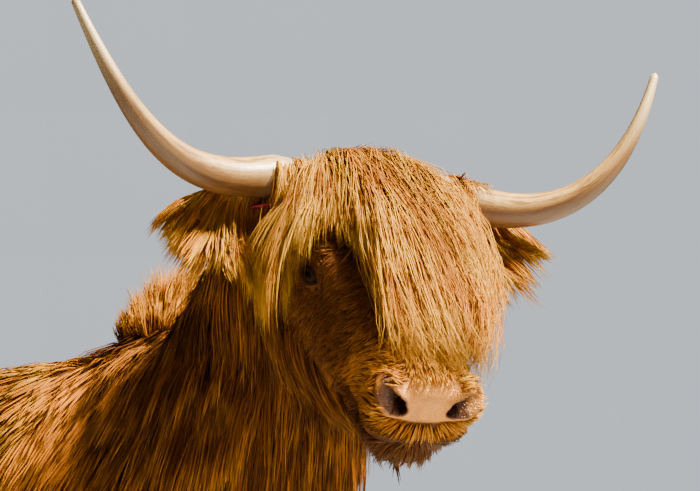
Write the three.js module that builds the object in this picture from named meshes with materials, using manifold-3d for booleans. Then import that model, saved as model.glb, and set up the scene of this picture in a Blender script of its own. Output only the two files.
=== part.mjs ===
// A highland cow, life size, standing square with its head raised and turned to its right.
// Millimetres, +Z up. The animal faces -Y, its left side is +X and its soles stand on Z = 0.
// Every solid reaches to the tips of the coat, so the outline is that of the animal in full hair.
import * as THREE from "three";
import { mergeVertices } from "three/addons/utils/BufferGeometryUtils.js";
import Module from "manifold-3d";

const wasm = await Module();
wasm.setup();

// ---- driving sizes ----
const GAP = 0.5; // left between neighbours
const SIDES = { left: 1, right: -1 };

const WITHERS = 1165; // height of the back over the shoulders
const BELLY = 400; // height of the hair under the belly
const CHEST_FRONT = -405; // foremost point of the brisket
const RUMP = 1212; // hindmost point of the body
const NECK_ROOT = { y: -270, z: 945, lean: 30.5 }; // where the neck parts from the shoulders

const HEAD = {
  poll: [-95, -560, 1405], // crown of the skull, between the horns
  turn: 38, // degrees to the animal's right
  nod: 44, // degrees below level
  lean: 3, // degrees down on its left side
  nape: 30, // the head parts from the neck this far behind the poll
  throat: -318, // and this far below it
};
const EYE = { out: 94, ahead: 205, below: 60, radius: 20 };
const HORN = { rootRadius: 33, tipRadius: 6, taper: 1.35, rings: 12 };
const EAR = { ahead: 55, below: 83 };
const TAG = { out: 150, ahead: 60, below: 58, width: 36, length: 46, thickness: 3, stud: 24 };
const MOUTH = { below: 118, corner: 392, slit: 2.5 };
const NOSE = { half: 64, back: 462, below: 104 }; // the bare pad

// Where each leg parts from the body, where its cannon starts, and where its foot stands.
const FORELEG = { top: 470, cannon: 262, foot: -92 };
const HINDLEG = { top: 560, cannon: 330, foot: 1036 };
const STANCE = { left: { fore: -45, hind: 25 }, right: { fore: 25, hind: -35 } };
const CLAW = { height: 62, length: 116, width: 52, spacing: 56 };
const DEWCLAW = { height: 104, behind: 86, radii: [13, 19, 23], tilt: 20 };
const SWITCH_TOP = 610; // where the tail's long hair starts

// ---- colours ----
const COAT = finish("#c47a2c", 0.9);
const LONG_COAT = finish("#a8621f", 0.9);
const FRINGE = finish("#d2893a", 0.9);
const HOOF = finish("#3d342c", 0.55);
const HORN_SHEATH = finish("#cbb492", 0.4);
const EYEBALL = finish("#1b120c", 0.08);
const BARE_NOSE = finish("#b58462", 0.4);
const BARE_SKIN = finish("#b98468", 0.7);
const PLASTIC = finish("#8c1c2c", 0.45);

function finish(colour, roughness) {
  return new THREE.MeshStandardMaterial({ color: colour, roughness, metalness: 0 });
}

// ---- shape tools ----
function vector(x, y, z) {
  return new THREE.Vector3(x, y, z);
}

function along(points, share) {
  return new THREE.CatmullRomCurve3(points).getPoint(share);
}

// Rows of numbers: upper outline (y, z), lower outline (y, z), half width, distance from the midline.
function sections(rows) {
  return rows.map(([upperY, upperZ, lowerY, lowerZ, half, x = 0]) => ({
    upper: vector(x, upperY, upperZ),
    lower: vector(x, lowerY, lowerZ),
    half,
  }));
}

// A closed skin over a row of sections. Each section is a chord across the body, whose ends are
// the outline seen from the side, and the half width square to it. widest is how far up the chord
// the section is widest, square is 2 for an ellipse and more for a boxier section, and grow makes
// the same shape larger all round.
function loft(rows, { around = 16, widest = 0.5, square = 2.3, grow = 0 } = {}) {
  const uppers = rows.map((row) => row.upper);
  const lowers = rows.map((row) => row.lower);
  const halves = rows.map((row) => vector(row.half, 0, 0));
  const rings = rows.length - 1;
  const centreAt = (share) => along(lowers, share).lerp(along(uppers, share), widest);
  const rounded = (value) => Math.sign(value) * Math.abs(value) ** (2 / square);
  const points = [];
  const ends = [];
  for (let ring = 0; ring <= rings; ring++) {
    const share = ring / rings;
    const upper = along(uppers, share);
    const lower = along(lowers, share);
    const centre = centreAt(share);
    const rise = upper.distanceTo(centre) + grow;
    const drop = lower.distanceTo(centre) + grow;
    const half = along(halves, share).x + grow;
    const before = centreAt(Math.max(0, share - 0.01));
    const ahead = centreAt(Math.min(1, share + 0.01)).sub(before).normalize();
    const up = upper.clone().sub(lower).normalize();
    const out = up.clone().cross(ahead).normalize();
    if (ring === 0) centre.addScaledVector(ahead, -grow);
    if (ring === rings) centre.addScaledVector(ahead, grow);
    if (ring === 0 || ring === rings) ends.push(centre);
    for (let i = 0; i < around; i++) {
      const angle = (2 * Math.PI * i) / around;
      const across = half * rounded(Math.cos(angle));
      const height = (Math.sin(angle) > 0 ? rise : drop) * rounded(Math.sin(angle));
      points.push(centre.clone().addScaledVector(out, across).addScaledVector(up, height));
    }
  }
  const last = rings * around;
  const ball = points.length;
  const faces = [];
  for (let i = 0; i < around; i++) {
    const next = (i + 1) % around;
    faces.push(ball, next, i);
    faces.push(ball + 1, last + i, last + next);
    for (let near = 0; near < last; near += around) {
      const far = near + around;
      faces.push(near + i, near + next, far + next);
      faces.push(near + i, far + next, far + i);
    }
  }
  return new THREE.BufferGeometry().setFromPoints([...points, ...ends]).setIndex(faces);
}

// A round tube along a curve, whose radius follows the share of its length.
function taperedTube(curve, radiusAt, rings, grow) {
  const rows = [];
  for (let ring = 0; ring <= rings; ring++) {
    const share = ring / rings;
    const centre = curve.getPoint(share);
    const up = vector(0, -1, 0).cross(curve.getTangent(share)).normalize();
    const radius = radiusAt(share);
    rows.push({
      upper: centre.clone().addScaledVector(up, radius),
      lower: centre.clone().addScaledVector(up, -radius),
      half: radius,
    });
  }
  return loft(rows, { around: 12, square: 2, grow });
}

function placed(x, y, z, tilt = [0, 0, 0], scale = [1, 1, 1]) {
  const turn = new THREE.Euler(...tilt.map(THREE.MathUtils.degToRad), "ZXY");
  const turned = new THREE.Quaternion().setFromEuler(turn);
  return new THREE.Matrix4().compose(vector(x, y, z), turned, vector(...scale));
}

function solid(geometry, place = new THREE.Matrix4()) {
  const bare = geometry.clone().applyMatrix4(place);
  bare.deleteAttribute("normal");
  bare.deleteAttribute("uv");
  const merged = mergeVertices(bare, 1e-3);
  const mesh = new wasm.Mesh({
    numProp: 3,
    vertProperties: merged.attributes.position.array,
    triVerts: new Uint32Array(merged.index.array),
  });
  return new wasm.Manifold(mesh);
}

function ball(detail) {
  return new THREE.SphereGeometry(1, detail, Math.round(detail * 0.6));
}

function ellipsoid(x, y, z, radii, tilt = [0, 0, 0], detail = 10) {
  return solid(ball(detail), placed(x, y, z, tilt, radii));
}

// A box from corner to corner, grown on every side.
function block(low, high, grow = 0) {
  const sizes = low.map((value, i) => high[i] - value + 2 * grow);
  const middle = low.map((value, i) => (value + high[i]) / 2);
  return new THREE.BoxGeometry(...sizes).translate(...middle);
}

function slab(low, high) {
  return solid(block([-1000, -1600, low], [1000, 2400, high]));
}

function without(shape, ...holes) {
  return holes.reduce((rest, hole) => rest.subtract(hole), shape);
}

const cow = new THREE.Group();

// Adds the largest piece of a shape to the animal, as one named node.
function keep(name, shape, material) {
  const largest = shape.decompose().reduce((a, b) => (a.volume() > b.volume() ? a : b));
  const cleaned = largest.simplify(GAP * 0.3).getMesh();
  const geometry = new THREE.BufferGeometry()
    .setAttribute("position", new THREE.BufferAttribute(cleaned.vertProperties, 3))
    .setIndex(new THREE.BufferAttribute(cleaned.triVerts, 1));
  geometry.computeVertexNormals();
  const mesh = new THREE.Mesh(geometry, material);
  mesh.name = name;
  cow.add(mesh);
}

// ---- barrel: deep and level, widest behind the ribs ----
const barrelRows = sections([
  [RUMP, 985, RUMP, 865, 60],
  [1185, 1082, 1190, 745, 165],
  [1115, 1132, 1120, 640, 245],
  [990, 1140, 1000, 555, 308],
  [810, 1128, 820, 470, 338],
  [600, 1112, 600, BELLY, 352],
  [390, 1110, 390, BELLY - 8, 348],
  [170, 1134, 180, BELLY, 322],
  [0, WITHERS, 0, BELLY + 5, 290],
  [-130, 1150, -150, 420, 258],
  [-240, 1060, -280, 455, 212],
  [-320, 930, -370, 510, 150],
  [CHEST_FRONT, 750, CHEST_FRONT, 620, 60],
]);

function barrel(grow = 0) {
  return solid(loft(barrelRows, { around: 22, widest: 0.46, square: 2.35, grow }));
}

// ---- legs: each from the shoulder or hip down to the coronet ----
const foreRows = [
  [-120, 1060, 60, 1060, 50, 150],
  [-238, 900, 90, 900, 82, 204],
  [-262, 730, 80, 740, 88, 218],
  [-205, 590, 60, 610, 82, 212],
  [-152, 480, 48, 500, 76, 190],
  [-132, 390, 32, 390, 64, 174],
  [-124, 305, 4, 300, 57, 165],
  [-108, 210, 0, 210, 47, 160],
  [-112, 135, 6, 150, 50, 158],
  [-128, 78, -14, 100, 51, 158],
  [-142, 44, -28, 52, 53, 158],
];
const hindRows = [
  [830, 1010, 1130, 1010, 85, 165],
  [745, 860, 1150, 870, 96, 212],
  [735, 720, 1140, 740, 96, 226],
  [790, 590, 1128, 620, 86, 214],
  [900, 500, 1140, 520, 74, 192],
  [985, 425, 1160, 440, 62, 176],
  [1018, 335, 1142, 345, 52, 167],
  [1026, 235, 1130, 235, 47, 162],
  [1020, 145, 1136, 150, 50, 160],
  [1000, 85, 1114, 100, 51, 158],
  [986, 44, 1100, 52, 53, 158],
];
const FOOT_OUT = 158; // from the midline to the middle of a foot

// step moves the foot ahead or back; the hip and shoulder stay where they are.
function legMass({ rows, side, step }, grow = 0) {
  const posed = sections(rows).map(({ upper, lower, half }) => {
    const share = 1 - THREE.MathUtils.smoothstep(Math.min(upper.z, lower.z), 100, 700);
    const shift = vector(0, step * share, 0);
    const mirror = vector(side, 1, 1);
    return {
      upper: upper.multiply(mirror).add(shift),
      lower: lower.multiply(mirror).add(shift),
      half,
    };
  });
  return solid(loft(posed, { around: 12, square: 2.15, grow }));
}

// One claw of the hoof: a blunt wedge with a flat sole, pointing ahead.
function clawMass(x, y, grow = 0) {
  const { length, width, height } = CLAW;
  const rows = [
    [y - length * 0.52, 0, y + length * 0.48, 0, width / 2, x],
    [y - length * 0.5, height * 0.3, y + length * 0.49, height * 0.3, width / 2, x],
    [y - length * 0.36, height * 0.74, y + length * 0.5, height * 0.7, width / 2 - 2, x],
    [y - length * 0.24, height + 6, y + length * 0.46, height - 6, width / 2 - 5, x],
  ];
  return solid(loft(sections(rows), { around: 10, square: 2.5, grow }));
}

function dewclawMass(x, y, grow = 0) {
  const radii = DEWCLAW.radii.map((radius) => radius + grow);
  return ellipsoid(x, y + DEWCLAW.behind, DEWCLAW.height, radii, [DEWCLAW.tilt, 0, 0], 6);
}

const legs = Object.entries(SIDES).flatMap(([sideName, side]) => [
  { ...FORELEG, name: "foreleg", rows: foreRows, sideName, side, step: STANCE[sideName].fore },
  { ...HINDLEG, name: "hindleg", rows: hindRows, sideName, side, step: STANCE[sideName].hind },
]);

function addLeg(leg) {
  const { name, sideName, side } = leg;
  const footY = leg.foot + leg.step;
  let limb = without(legMass(leg).intersect(slab(-50, leg.top)), barrel(GAP));
  for (const [toeName, way] of Object.entries({ inner: -1, outer: 1 })) {
    const toeX = side * (FOOT_OUT + (way * CLAW.spacing) / 2);
    const spurX = side * (FOOT_OUT + way * CLAW.spacing * 0.35);
    limb = without(limb, clawMass(toeX, footY, GAP), dewclawMass(spurX, footY, GAP));
    keep(`claw_${name}_${sideName}_${toeName}`, clawMass(toeX, footY), HOOF);
    keep(`dewclaw_${name}_${sideName}_${toeName}`, dewclawMass(spurX, footY), HOOF);
  }
  keep(`${name}_upper_${sideName}`, limb.intersect(slab(leg.cannon + GAP, leg.top)), COAT);
  keep(`${name}_lower_${sideName}`, limb.intersect(slab(-50, leg.cannon)), COAT);
}

// ---- neck: rises from the withers and bends to the right, with the dewlap's hair below ----
const neckRows = sections([
  [150, 1120, 0, 540, 190, 0],
  [20, WITHERS + 2, -330, 560, 205, 0],
  [-70, 1212, -425, 640, 188, -4],
  [-165, 1246, -458, 770, 170, -12],
  [-255, 1286, -468, 895, 156, -24],
  [-345, 1338, -466, 1005, 146, -40],
  [-440, 1392, -452, 1095, 134, -58],
  [-520, 1408, -440, 1160, 105, -74],
]);

function neckMass(grow = 0) {
  return solid(loft(neckRows, { around: 18, square: 2.25, grow }));
}

// The tuft that stands up along the crest where the neck meets the withers.
function maneMass() {
  return ellipsoid(-6, -95, 1198, [50, 122, 62], [-24, 0, 0], 12);
}

// ---- head, in its own frame: origin on the poll, face towards -Y ----
const headPlace = placed(...HEAD.poll, [HEAD.nod, HEAD.lean, -HEAD.turn]);
const nod = THREE.MathUtils.degToRad(HEAD.nod);
const hanging = vector(0, -Math.sin(nod), -Math.cos(nod)); // straight down, in the head's frame

const skullRows = sections([
  [66, -66, 58, -190, 62],
  [40, -10, 30, -258, 108],
  [0, 16, -10, -286, 128],
  [-70, 20, -70, -294, 134],
  [-140, 14, -140, -290, 132],
  [-EYE.ahead, 6, -200, -264, 122],
  [-275, 2, -265, -226, 104],
  [-340, 0, -330, -196, 90],
  [-395, -2, -390, -188, 86],
  [-440, -8, -440, -194, 86],
  [-474, -24, -476, -186, 70],
  [-494, -56, -496, -144, 40],
]);

function skull(grow = 0) {
  return solid(loft(skullRows, { around: 16, grow }), headPlace);
}

function headBall(x, y, z, radii, tilt = [0, 0, 0], detail = 10) {
  return solid(ball(detail), headPlace.clone().multiply(placed(x, y, z, tilt, radii)));
}

function headBlock(low, high, grow = 0) {
  return solid(block(low, high, grow), headPlace);
}

function eyeBall(side, grow = 0) {
  const radius = EYE.radius + grow;
  return headBall(side * EYE.out, -EYE.ahead, -EYE.below, [radius, radius, radius]);
}

// The open lids: a shallow bowl in the coat round each eye.
function lidBowl(side) {
  return headBall(side * (EYE.out + 28), -EYE.ahead - 14, -EYE.below, [20, 27, 20]);
}

function nostril(side) {
  return headBall(side * 45, -480, -58, [12, 30, 20], [0, side * 35, 0]);
}

// A horn sweeps out, dips ahead and climbs to its tip. The right one stands a little higher.
const hornLines = {
  right: [[-72, -8, -20], [-257, -58, -46], [-345, -145, 50], [-457, 42, 194]],
  left: [[72, -8, -20], [266, -74, -68], [358, -154, 40], [437, 42, 181]],
};

function horn(sideName, grow = 0) {
  const controls = hornLines[sideName].map((point) => vector(...point));
  const curve = new THREE.CubicBezierCurve3(...controls);
  const { rootRadius, tipRadius, taper, rings } = HORN;
  const radiusAt = (share) => THREE.MathUtils.lerp(rootRadius, tipRadius, share ** taper);
  return solid(taperedTube(curve, radiusAt, rings, grow), headPlace);
}

// An ear stands out level, and its long fringe hangs straight down from the upper edge.
function ear(side, grow = 0) {
  const rows = [
    { out: 78, rise: 6, fall: 70, half: 22 },
    { out: 125, rise: 12, fall: 112, half: 32 },
    { out: 180, rise: 24, fall: 128, half: 37 },
    { out: 240, rise: 34, fall: 104, half: 32 },
    { out: 285, rise: 34, fall: 58, half: 20 },
    { out: 306, rise: 26, fall: 10, half: 8 },
  ].map(({ out, rise, fall, half }) => {
    const edge = vector(side * out, -EAR.ahead, -EAR.below);
    return {
      upper: edge.clone().addScaledVector(hanging, -rise),
      lower: edge.clone().addScaledVector(hanging, fall),
      half,
    };
  });
  return solid(loft(rows, { around: 12, widest: 0.55, square: 2.2, grow }), headPlace);
}

// The forelock spills from the poll over the brow and down the nose, and hides the left eye.
const forelockRows = sections([
  [62, -34, 48, -90, 70, 0],
  [26, 14, 14, -80, 122, 0],
  [-40, 48, -40, -90, 148, 2],
  [-120, 56, -112, -100, 156, 10],
  [-200, 50, -190, -96, 144, 26],
  [-280, 42, -270, -78, 114, 34],
  [-350, 32, -340, -44, 80, 24],
  [-410, 24, -402, -20, 60, 12],
  [-448, 8, -442, -16, 44, 8],
]);

function forelockMass() {
  const partedHair = headBall(-EYE.out - 12, -EYE.ahead, -EYE.below - 8, [52, 66, 50]);
  return solid(loft(forelockRows, { around: 14 }), headPlace).subtract(partedHair);
}

// A plain moulded ear tag: a flap that lies on the ear, and the stud that holds it.
function tag(grow = 0) {
  const place = placed(-TAG.out, -TAG.ahead, -TAG.below, [-HEAD.nod, -6, 0]);
  const disc = (radius, height, z, stretch) => {
    const round = new THREE.CylinderGeometry(radius + grow, radius + grow, height + 2 * grow, 12);
    const onEar = placed(0, 0, z, [90, 0, 0], [1, 1, stretch]);
    return solid(round, headPlace.clone().multiply(place).multiply(onEar));
  };
  const flap = disc(TAG.width / 2, TAG.thickness, 0, TAG.length / TAG.width);
  return flap.add(disc(4, TAG.stud, -TAG.stud / 2, 1));
}

// ---- tail: a thin dock that ends in a long switch ----
const tailRows = sections([
  [1150, 1108, 1150, 1040, 40],
  [1228, 1088, 1190, 1020, 42],
  [1268, 1010, 1206, 1000, 36],
  [1278, 860, 1222, 860, 32],
  [1276, 700, 1222, 700, 34],
  [1282, 560, 1212, 560, 44],
  [1288, 420, 1200, 420, 54],
  [1278, 300, 1206, 300, 44],
  [1254, 205, 1236, 205, 12],
]);

// ---- udder: small, close under the belly between the thighs ----
function udderMass() {
  let udder = ellipsoid(0, 905, 530, [112, 128, 104], [8, 0, 0]);
  for (const side of Object.values(SIDES)) {
    for (const y of [858, 940]) {
      udder = udder.add(ellipsoid(side * 46, y, 432, [13, 13, 34], [0, 0, 0], 6));
    }
  }
  return udder;
}

// ---- the animal, parted into its nodes by thin cuts ----
const hornRoots = Object.keys(SIDES).map((sideName) => horn(sideName, GAP));
const sockets = Object.values(SIDES).map((side) => eyeBall(side, GAP));
const eyeBowls = Object.values(SIDES).map(lidBowl);
const nostrils = Object.values(SIDES).map(nostril);
const earRoots = Object.values(SIDES).map((side) => ear(side, GAP));

legs.forEach(addLeg);

const upperLegs = legs.map((leg) => legMass(leg).intersect(slab(leg.top + GAP, WITHERS)));
const body = [...upperLegs, neckMass(), maneMass()].reduce((a, b) => a.add(b), barrel());

function neckBlock(grow = 0) {
  const box = block([-600, -1000, -700], [600, 0, 700], grow);
  return solid(box, placed(0, NECK_ROOT.y, NECK_ROOT.z, [-NECK_ROOT.lean, 0, 0]));
}
keep("trunk", without(body, neckBlock(GAP)), COAT);

const front = body.intersect(neckBlock()).add(skull());
const headLow = [-400, -700, HEAD.throat];
const headHigh = [400, HEAD.nape, 300];
keep("neck", without(front, headBlock(headLow, headHigh, GAP), ...hornRoots), LONG_COAT);

// The lower jaw parts from the head along the mouth, and the bare nose from the hairy lip.
const jawBox = [[-200, -700, HEAD.throat], [200, -MOUTH.corner, -MOUTH.below]];
const noseBox = [[-NOSE.half, -700, -NOSE.below], [NOSE.half, -NOSE.back, 100]];
const face = front.intersect(headBlock(headLow, headHigh));
const head = without(face, ...hornRoots, ...sockets, ...eyeBowls, ...nostrils);
keep("jaw", head.intersect(headBlock(...jawBox)), COAT);
keep("nose", head.intersect(headBlock(...noseBox)), BARE_NOSE);
keep("head", without(head, headBlock(...jawBox, MOUTH.slit), headBlock(...noseBox, GAP)), COAT);

for (const [sideName, side] of Object.entries(SIDES)) {
  const flap = without(ear(side), skull(GAP), neckMass(GAP), ...hornRoots);
  keep(`ear_${sideName}`, sideName === "right" ? flap.subtract(tag(GAP)) : flap, COAT);
  keep(`horn_${sideName}`, horn(sideName), HORN_SHEATH);
  keep(`eye_${sideName}`, eyeBall(side), EYEBALL);
}
keep("ear_tag", tag(), PLASTIC);

const aroundForelock = [skull(GAP), neckMass(GAP), tag(GAP), ...hornRoots, ...sockets, ...earRoots];
keep("forelock", without(forelockMass(), ...aroundForelock), FRINGE);

const tail = solid(loft(tailRows, { around: 14, square: 2 })).subtract(barrel(GAP));
keep("tail_dock", tail.intersect(slab(SWITCH_TOP + GAP, WITHERS)), COAT);
keep("tail_switch", tail.intersect(slab(0, SWITCH_TOP)), LONG_COAT);

const hindlegs = legs.filter((leg) => leg.name === "hindleg").map((leg) => legMass(leg, GAP));
keep("udder", without(udderMass(), barrel(GAP), ...hindlegs), BARE_SKIN);

// The frame's origin is on the floor under the middle of the whole animal.
const reach = new THREE.Box3().setFromObject(cow, true);
const middle = reach.getCenter(vector(0, 0, 0));
cow.position.set(-middle.x, -middle.y, -reach.min.z);

export default cow;
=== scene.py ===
import math

import bmesh
import bpy
import numpy as np
from mathutils import Matrix, Vector
from mathutils.bvhtree import BVHTree
from mathutils.kdtree import KDTree


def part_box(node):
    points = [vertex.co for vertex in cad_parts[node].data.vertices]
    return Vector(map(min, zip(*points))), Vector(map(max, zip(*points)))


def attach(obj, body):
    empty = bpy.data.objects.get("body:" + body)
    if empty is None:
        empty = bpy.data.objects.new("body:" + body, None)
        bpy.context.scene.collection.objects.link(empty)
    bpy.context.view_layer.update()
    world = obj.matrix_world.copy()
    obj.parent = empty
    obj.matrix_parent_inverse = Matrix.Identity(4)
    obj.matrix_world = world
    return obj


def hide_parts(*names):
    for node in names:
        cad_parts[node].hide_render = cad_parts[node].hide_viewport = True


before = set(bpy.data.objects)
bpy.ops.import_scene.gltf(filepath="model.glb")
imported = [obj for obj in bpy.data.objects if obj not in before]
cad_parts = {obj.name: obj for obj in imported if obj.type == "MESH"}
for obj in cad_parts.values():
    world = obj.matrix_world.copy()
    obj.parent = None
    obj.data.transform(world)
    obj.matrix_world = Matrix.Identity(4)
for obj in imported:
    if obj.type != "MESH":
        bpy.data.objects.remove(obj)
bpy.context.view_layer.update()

# ---- Skin ----
# One hide over the whole body, from the lips to the dock of the tail. It is grown over the flesh
# solids, let in by the depth of the coat, and drawn finer over the face, where the brow, lids,
# nostrils, lips and chin are modelled.
FLESH_STEMS = ("trunk", "neck", "head", "jaw", "nose", "foreleg", "hindleg", "tail_dock", "udder")
FLESH = sorted(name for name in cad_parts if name.startswith(FLESH_STEMS))
HOOVES = sorted(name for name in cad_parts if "claw" in name)
# How coarse the hide is, how far the flesh swells so that no gap stays open, and the height at
# which the hooves begin. Metres, as everywhere below.
HIDE_GRAIN, GAP_CLOSED, CORONET = 0.0145, 0.002, 0.047


def rows_of(items, field, width, kind=float):
    """The numbers that each corner, edge or triangle of a mesh holds, one row for each."""
    values = np.empty(len(items) * width, kind)
    items.foreach_get(field, values)
    return values.reshape(-1, width)


def corners_of(mesh):
    return rows_of(mesh.vertices, "co", 3)


def edges_of(mesh):
    return rows_of(mesh.edges, "vertices", 2, int)


def triangles_of(mesh):
    mesh.calc_loop_triangles()
    return rows_of(mesh.loop_triangles, "vertices", 3, int)


def shell_of(name):
    """Corners and triangles of a solid, with its shared corners merged."""
    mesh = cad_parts[name].data
    merged, places = np.unique(np.round(corners_of(mesh), 5), axis=0, return_inverse=True)
    return merged, places.ravel()[triangles_of(mesh)]


def unit(vectors):
    return vectors / np.maximum(np.linalg.norm(vectors, axis=-1, keepdims=True), 1e-9)


def triangle_areas(points, triangles):
    """Twice the area of each triangle."""
    a, b, c = (points[triangles[:, i]] for i in range(3))
    return np.linalg.norm(np.cross(b - a, c - a), axis=1)


def corner_normals(points, triangles):
    """Unit normals at the corners of a triangle mesh."""
    a, b, c = (points[triangles[:, i]] for i in range(3))
    faces = np.cross(b - a, c - a)
    normals = np.zeros_like(points)
    for i in range(3):
        for axis in range(3):
            normals[:, axis] += np.bincount(triangles[:, i], faces[:, axis], len(points))
    return normals / np.maximum(np.linalg.norm(normals, axis=1, keepdims=True), 1e-12)


def new_mesh(name, points, faces):
    mesh = bpy.data.meshes.new(name)
    points = np.asarray(points, np.float32)
    faces = np.asarray(faces, np.int32)
    mesh.vertices.add(len(points))
    mesh.vertices.foreach_set("co", points.ravel())
    mesh.loops.add(faces.size)
    mesh.loops.foreach_set("vertex_index", faces.ravel())
    mesh.polygons.add(len(faces))
    starts = np.arange(0, faces.size, faces.shape[1], dtype=np.int32)
    mesh.polygons.foreach_set("loop_start", starts)
    mesh.polygons.foreach_set("use_smooth", np.ones(len(faces), bool))
    mesh.update(calc_edges=True)
    return mesh


def put_in(name, data):
    """Puts a mesh, a lamp or a camera in the scene."""
    thing = bpy.data.objects.new(name, data)
    bpy.context.scene.collection.objects.link(thing)
    return thing


def place_piece(name, mesh, replaced):
    """Puts a finished mesh in the scene as a piece of the animal."""
    piece = put_in(name, mesh)
    if replaced:
        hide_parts(*replaced)
    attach(piece, "root")


def painted(mesh, name, values):
    """Gives each corner of a mesh a number, a direction or a colour of its own."""
    width = 1 if values.ndim == 1 else values.shape[1]
    kind, field = {1: ("FLOAT", "value"), 3: ("FLOAT_VECTOR", "vector"),
                   4: ("FLOAT_COLOR", "color")}[width]
    layer = mesh.attributes.new(name, kind, "POINT")
    layer.data.foreach_set(field, values.astype(np.float32).ravel())


def relaxed(values, edges, share, times=1):
    """Moves each value towards the mean of its neighbours along the edges."""
    count = len(values)
    meets = np.maximum(np.bincount(edges.ravel(), minlength=count), 1)
    for _ in range(times):
        total = np.zeros_like(values)
        for near, far in ((0, 1), (1, 0)):
            for axis in range(values.shape[1]):
                total[:, axis] += np.bincount(edges[:, near], values[edges[:, far], axis], count)
        values = values + share * (total / meets[:, None] - values)
    return values


def eased(value, start, end):
    """0 before start and 1 after end, with a soft change between them."""
    share = np.clip((value - start) / (end - start), 0, 1)
    return share * share * (3 - 2 * share)


def remeshed(name, points, triangles, grain):
    """One even mesh round solids that meet."""
    rough = put_in(name, new_mesh(name, points, triangles))
    remesh = rough.modifiers.new(name, "REMESH")
    remesh.mode = "VOXEL"
    remesh.voxel_size = grain
    graph = bpy.context.evaluated_depsgraph_get()
    graph.update()
    mesh = bpy.data.meshes.new_from_object(rough.evaluated_get(graph))
    bpy.data.objects.remove(rough)
    return mesh


all_points, all_triangles, offset = [], [], 0
for name in FLESH + HOOVES:
    points, triangles = shell_of(name)
    swollen = GAP_CLOSED if name in FLESH else 0.0
    all_points.append(points + swollen * corner_normals(points, triangles))
    all_triangles.append(triangles + offset)
    offset += len(points)
hide = remeshed("lumps", np.concatenate(all_points), np.concatenate(all_triangles), HIDE_GRAIN)

# How deep the coat stands over each part of the body.
COAT_DEPTH = {
    "trunk": 0.028,
    "neck": 0.034,
    "head": 0.010,
    "jaw": 0.012,
    "nose": 0.003,
    "foreleg_upper": 0.022,
    "foreleg_lower": 0.015,
    "hindleg_upper": 0.022,
    "hindleg_lower": 0.015,
    "tail_dock": 0.014,
    "udder": 0.006,
    "claw": 0.008,
    "dewclaw": 0.010,
}


def scattered(points, triangles, count, draws, weights=1.0):
    """Random points on a triangle mesh: their triangles and their places in them."""
    chances = weights * triangle_areas(points, triangles)
    chosen = draws.choice(len(triangles), count, p=chances / chances.sum())
    first = np.sqrt(draws.random(count))
    second = draws.random(count)
    shares = np.stack([1 - first, first * (1 - second), first * second], 1)
    return chosen, shares


def blended(values, triangles, shares):
    return (values[triangles] * shares[:, :, None]).sum(1)


def tree_of(points):
    """A quick way to find the points nearest to a place."""
    tree = KDTree(len(points))
    for i, point in enumerate(points):
        tree.insert(point, i)
    tree.balance()
    return tree


# Marks all over the solids tell which part of the body a point of the hide belongs to.
draws = np.random.default_rng(11)
FEWEST_MARKS, MARKS_PER_AREA = 60, 1200
marks, mark_stems = [], []
for name in FLESH + HOOVES:
    points, triangles = shell_of(name)
    mark_count = int(FEWEST_MARKS + triangle_areas(points, triangles).sum() * MARKS_PER_AREA)
    chosen, shares = scattered(points, triangles, mark_count, draws)
    marks.append(blended(points, triangles[chosen], shares))
    stem = max((stem for stem in COAT_DEPTH if name.startswith(stem)), key=len)
    mark_stems += [stem] * len(chosen)
mark_tree = tree_of(np.concatenate(marks))


def parts_at(points):
    """The name of the body part that each point belongs to."""
    return np.array([mark_stems[mark_tree.find(point)[1]] for point in points])


skin_points = corners_of(hide)
skin_edges = edges_of(hide)
skin_triangles = triangles_of(hide)
skin_parts = parts_at(skin_points)
depth = np.array([COAT_DEPTH[part] for part in skin_parts])

# The coat stands deeper under the belly, on the chest and along the crest.
on_torso = np.isin(skin_parts, ["trunk", "neck"])
under_body = (skin_parts == "trunk") * eased(skin_points[:, 2], 0.56, 0.42)
brisket = on_torso * eased(skin_points[:, 1], -0.50, -0.62) * eased(skin_points[:, 2], 1.0, 0.8)
crest_line = on_torso * eased(skin_points[:, 2], 1.13, 1.22)
crest_line *= eased(skin_points[:, 1], -0.52, -0.42)
depth += 0.042 * under_body + 0.016 * brisket + 0.045 * crest_line
depth = relaxed(depth[:, None], skin_edges, 0.6, 12)[:, 0]
SINKING_STEPS = 8
step_depth = depth[:, None] / SINKING_STEPS
for _ in range(SINKING_STEPS):
    skin_points = skin_points - corner_normals(skin_points, skin_triangles) * step_depth
    skin_points = relaxed(skin_points, skin_edges, 0.5, 2)
# The tuft over the withers is all hair, so under it the hide runs straight from neck to back.
back_line = 1.200 - 0.28 * (skin_points[:, 1] + 0.45)
over = on_torso * np.maximum(skin_points[:, 2] - back_line, 0)
over *= eased(skin_points[:, 1], -0.46, -0.42) * eased(skin_points[:, 1], -0.10, -0.16)
skin_points[:, 2] -= 0.9 * relaxed(over[:, None], skin_edges, 0.5, 3)[:, 0]

# The head's own frame: its origin is on the poll, between the horns, and the face is towards -Y.
HEAD_TURN, HEAD_NOD, HEAD_LEAN = (math.radians(angle) for angle in (-38, 44, 3))
EYE_OUT, EYE_AHEAD, EYE_BELOW, EYE_RADIUS = 0.094, 0.205, 0.060, 0.020
head_axes = np.array(
    Matrix.Rotation(HEAD_TURN, 3, "Z")
    @ Matrix.Rotation(HEAD_NOD, 3, "X")
    @ Matrix.Rotation(HEAD_LEAN, 3, "Y")
)


def middle_of(name):
    low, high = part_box(name)
    return np.array((low + high) / 2)


eyes_middle = (middle_of("eye_left") + middle_of("eye_right")) / 2
poll = eyes_middle - head_axes @ np.array([0, -EYE_AHEAD, -EYE_BELOW])


def in_head(points):
    return (points - poll) @ head_axes


def from_head(points):
    return points @ head_axes.T + poll


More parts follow.
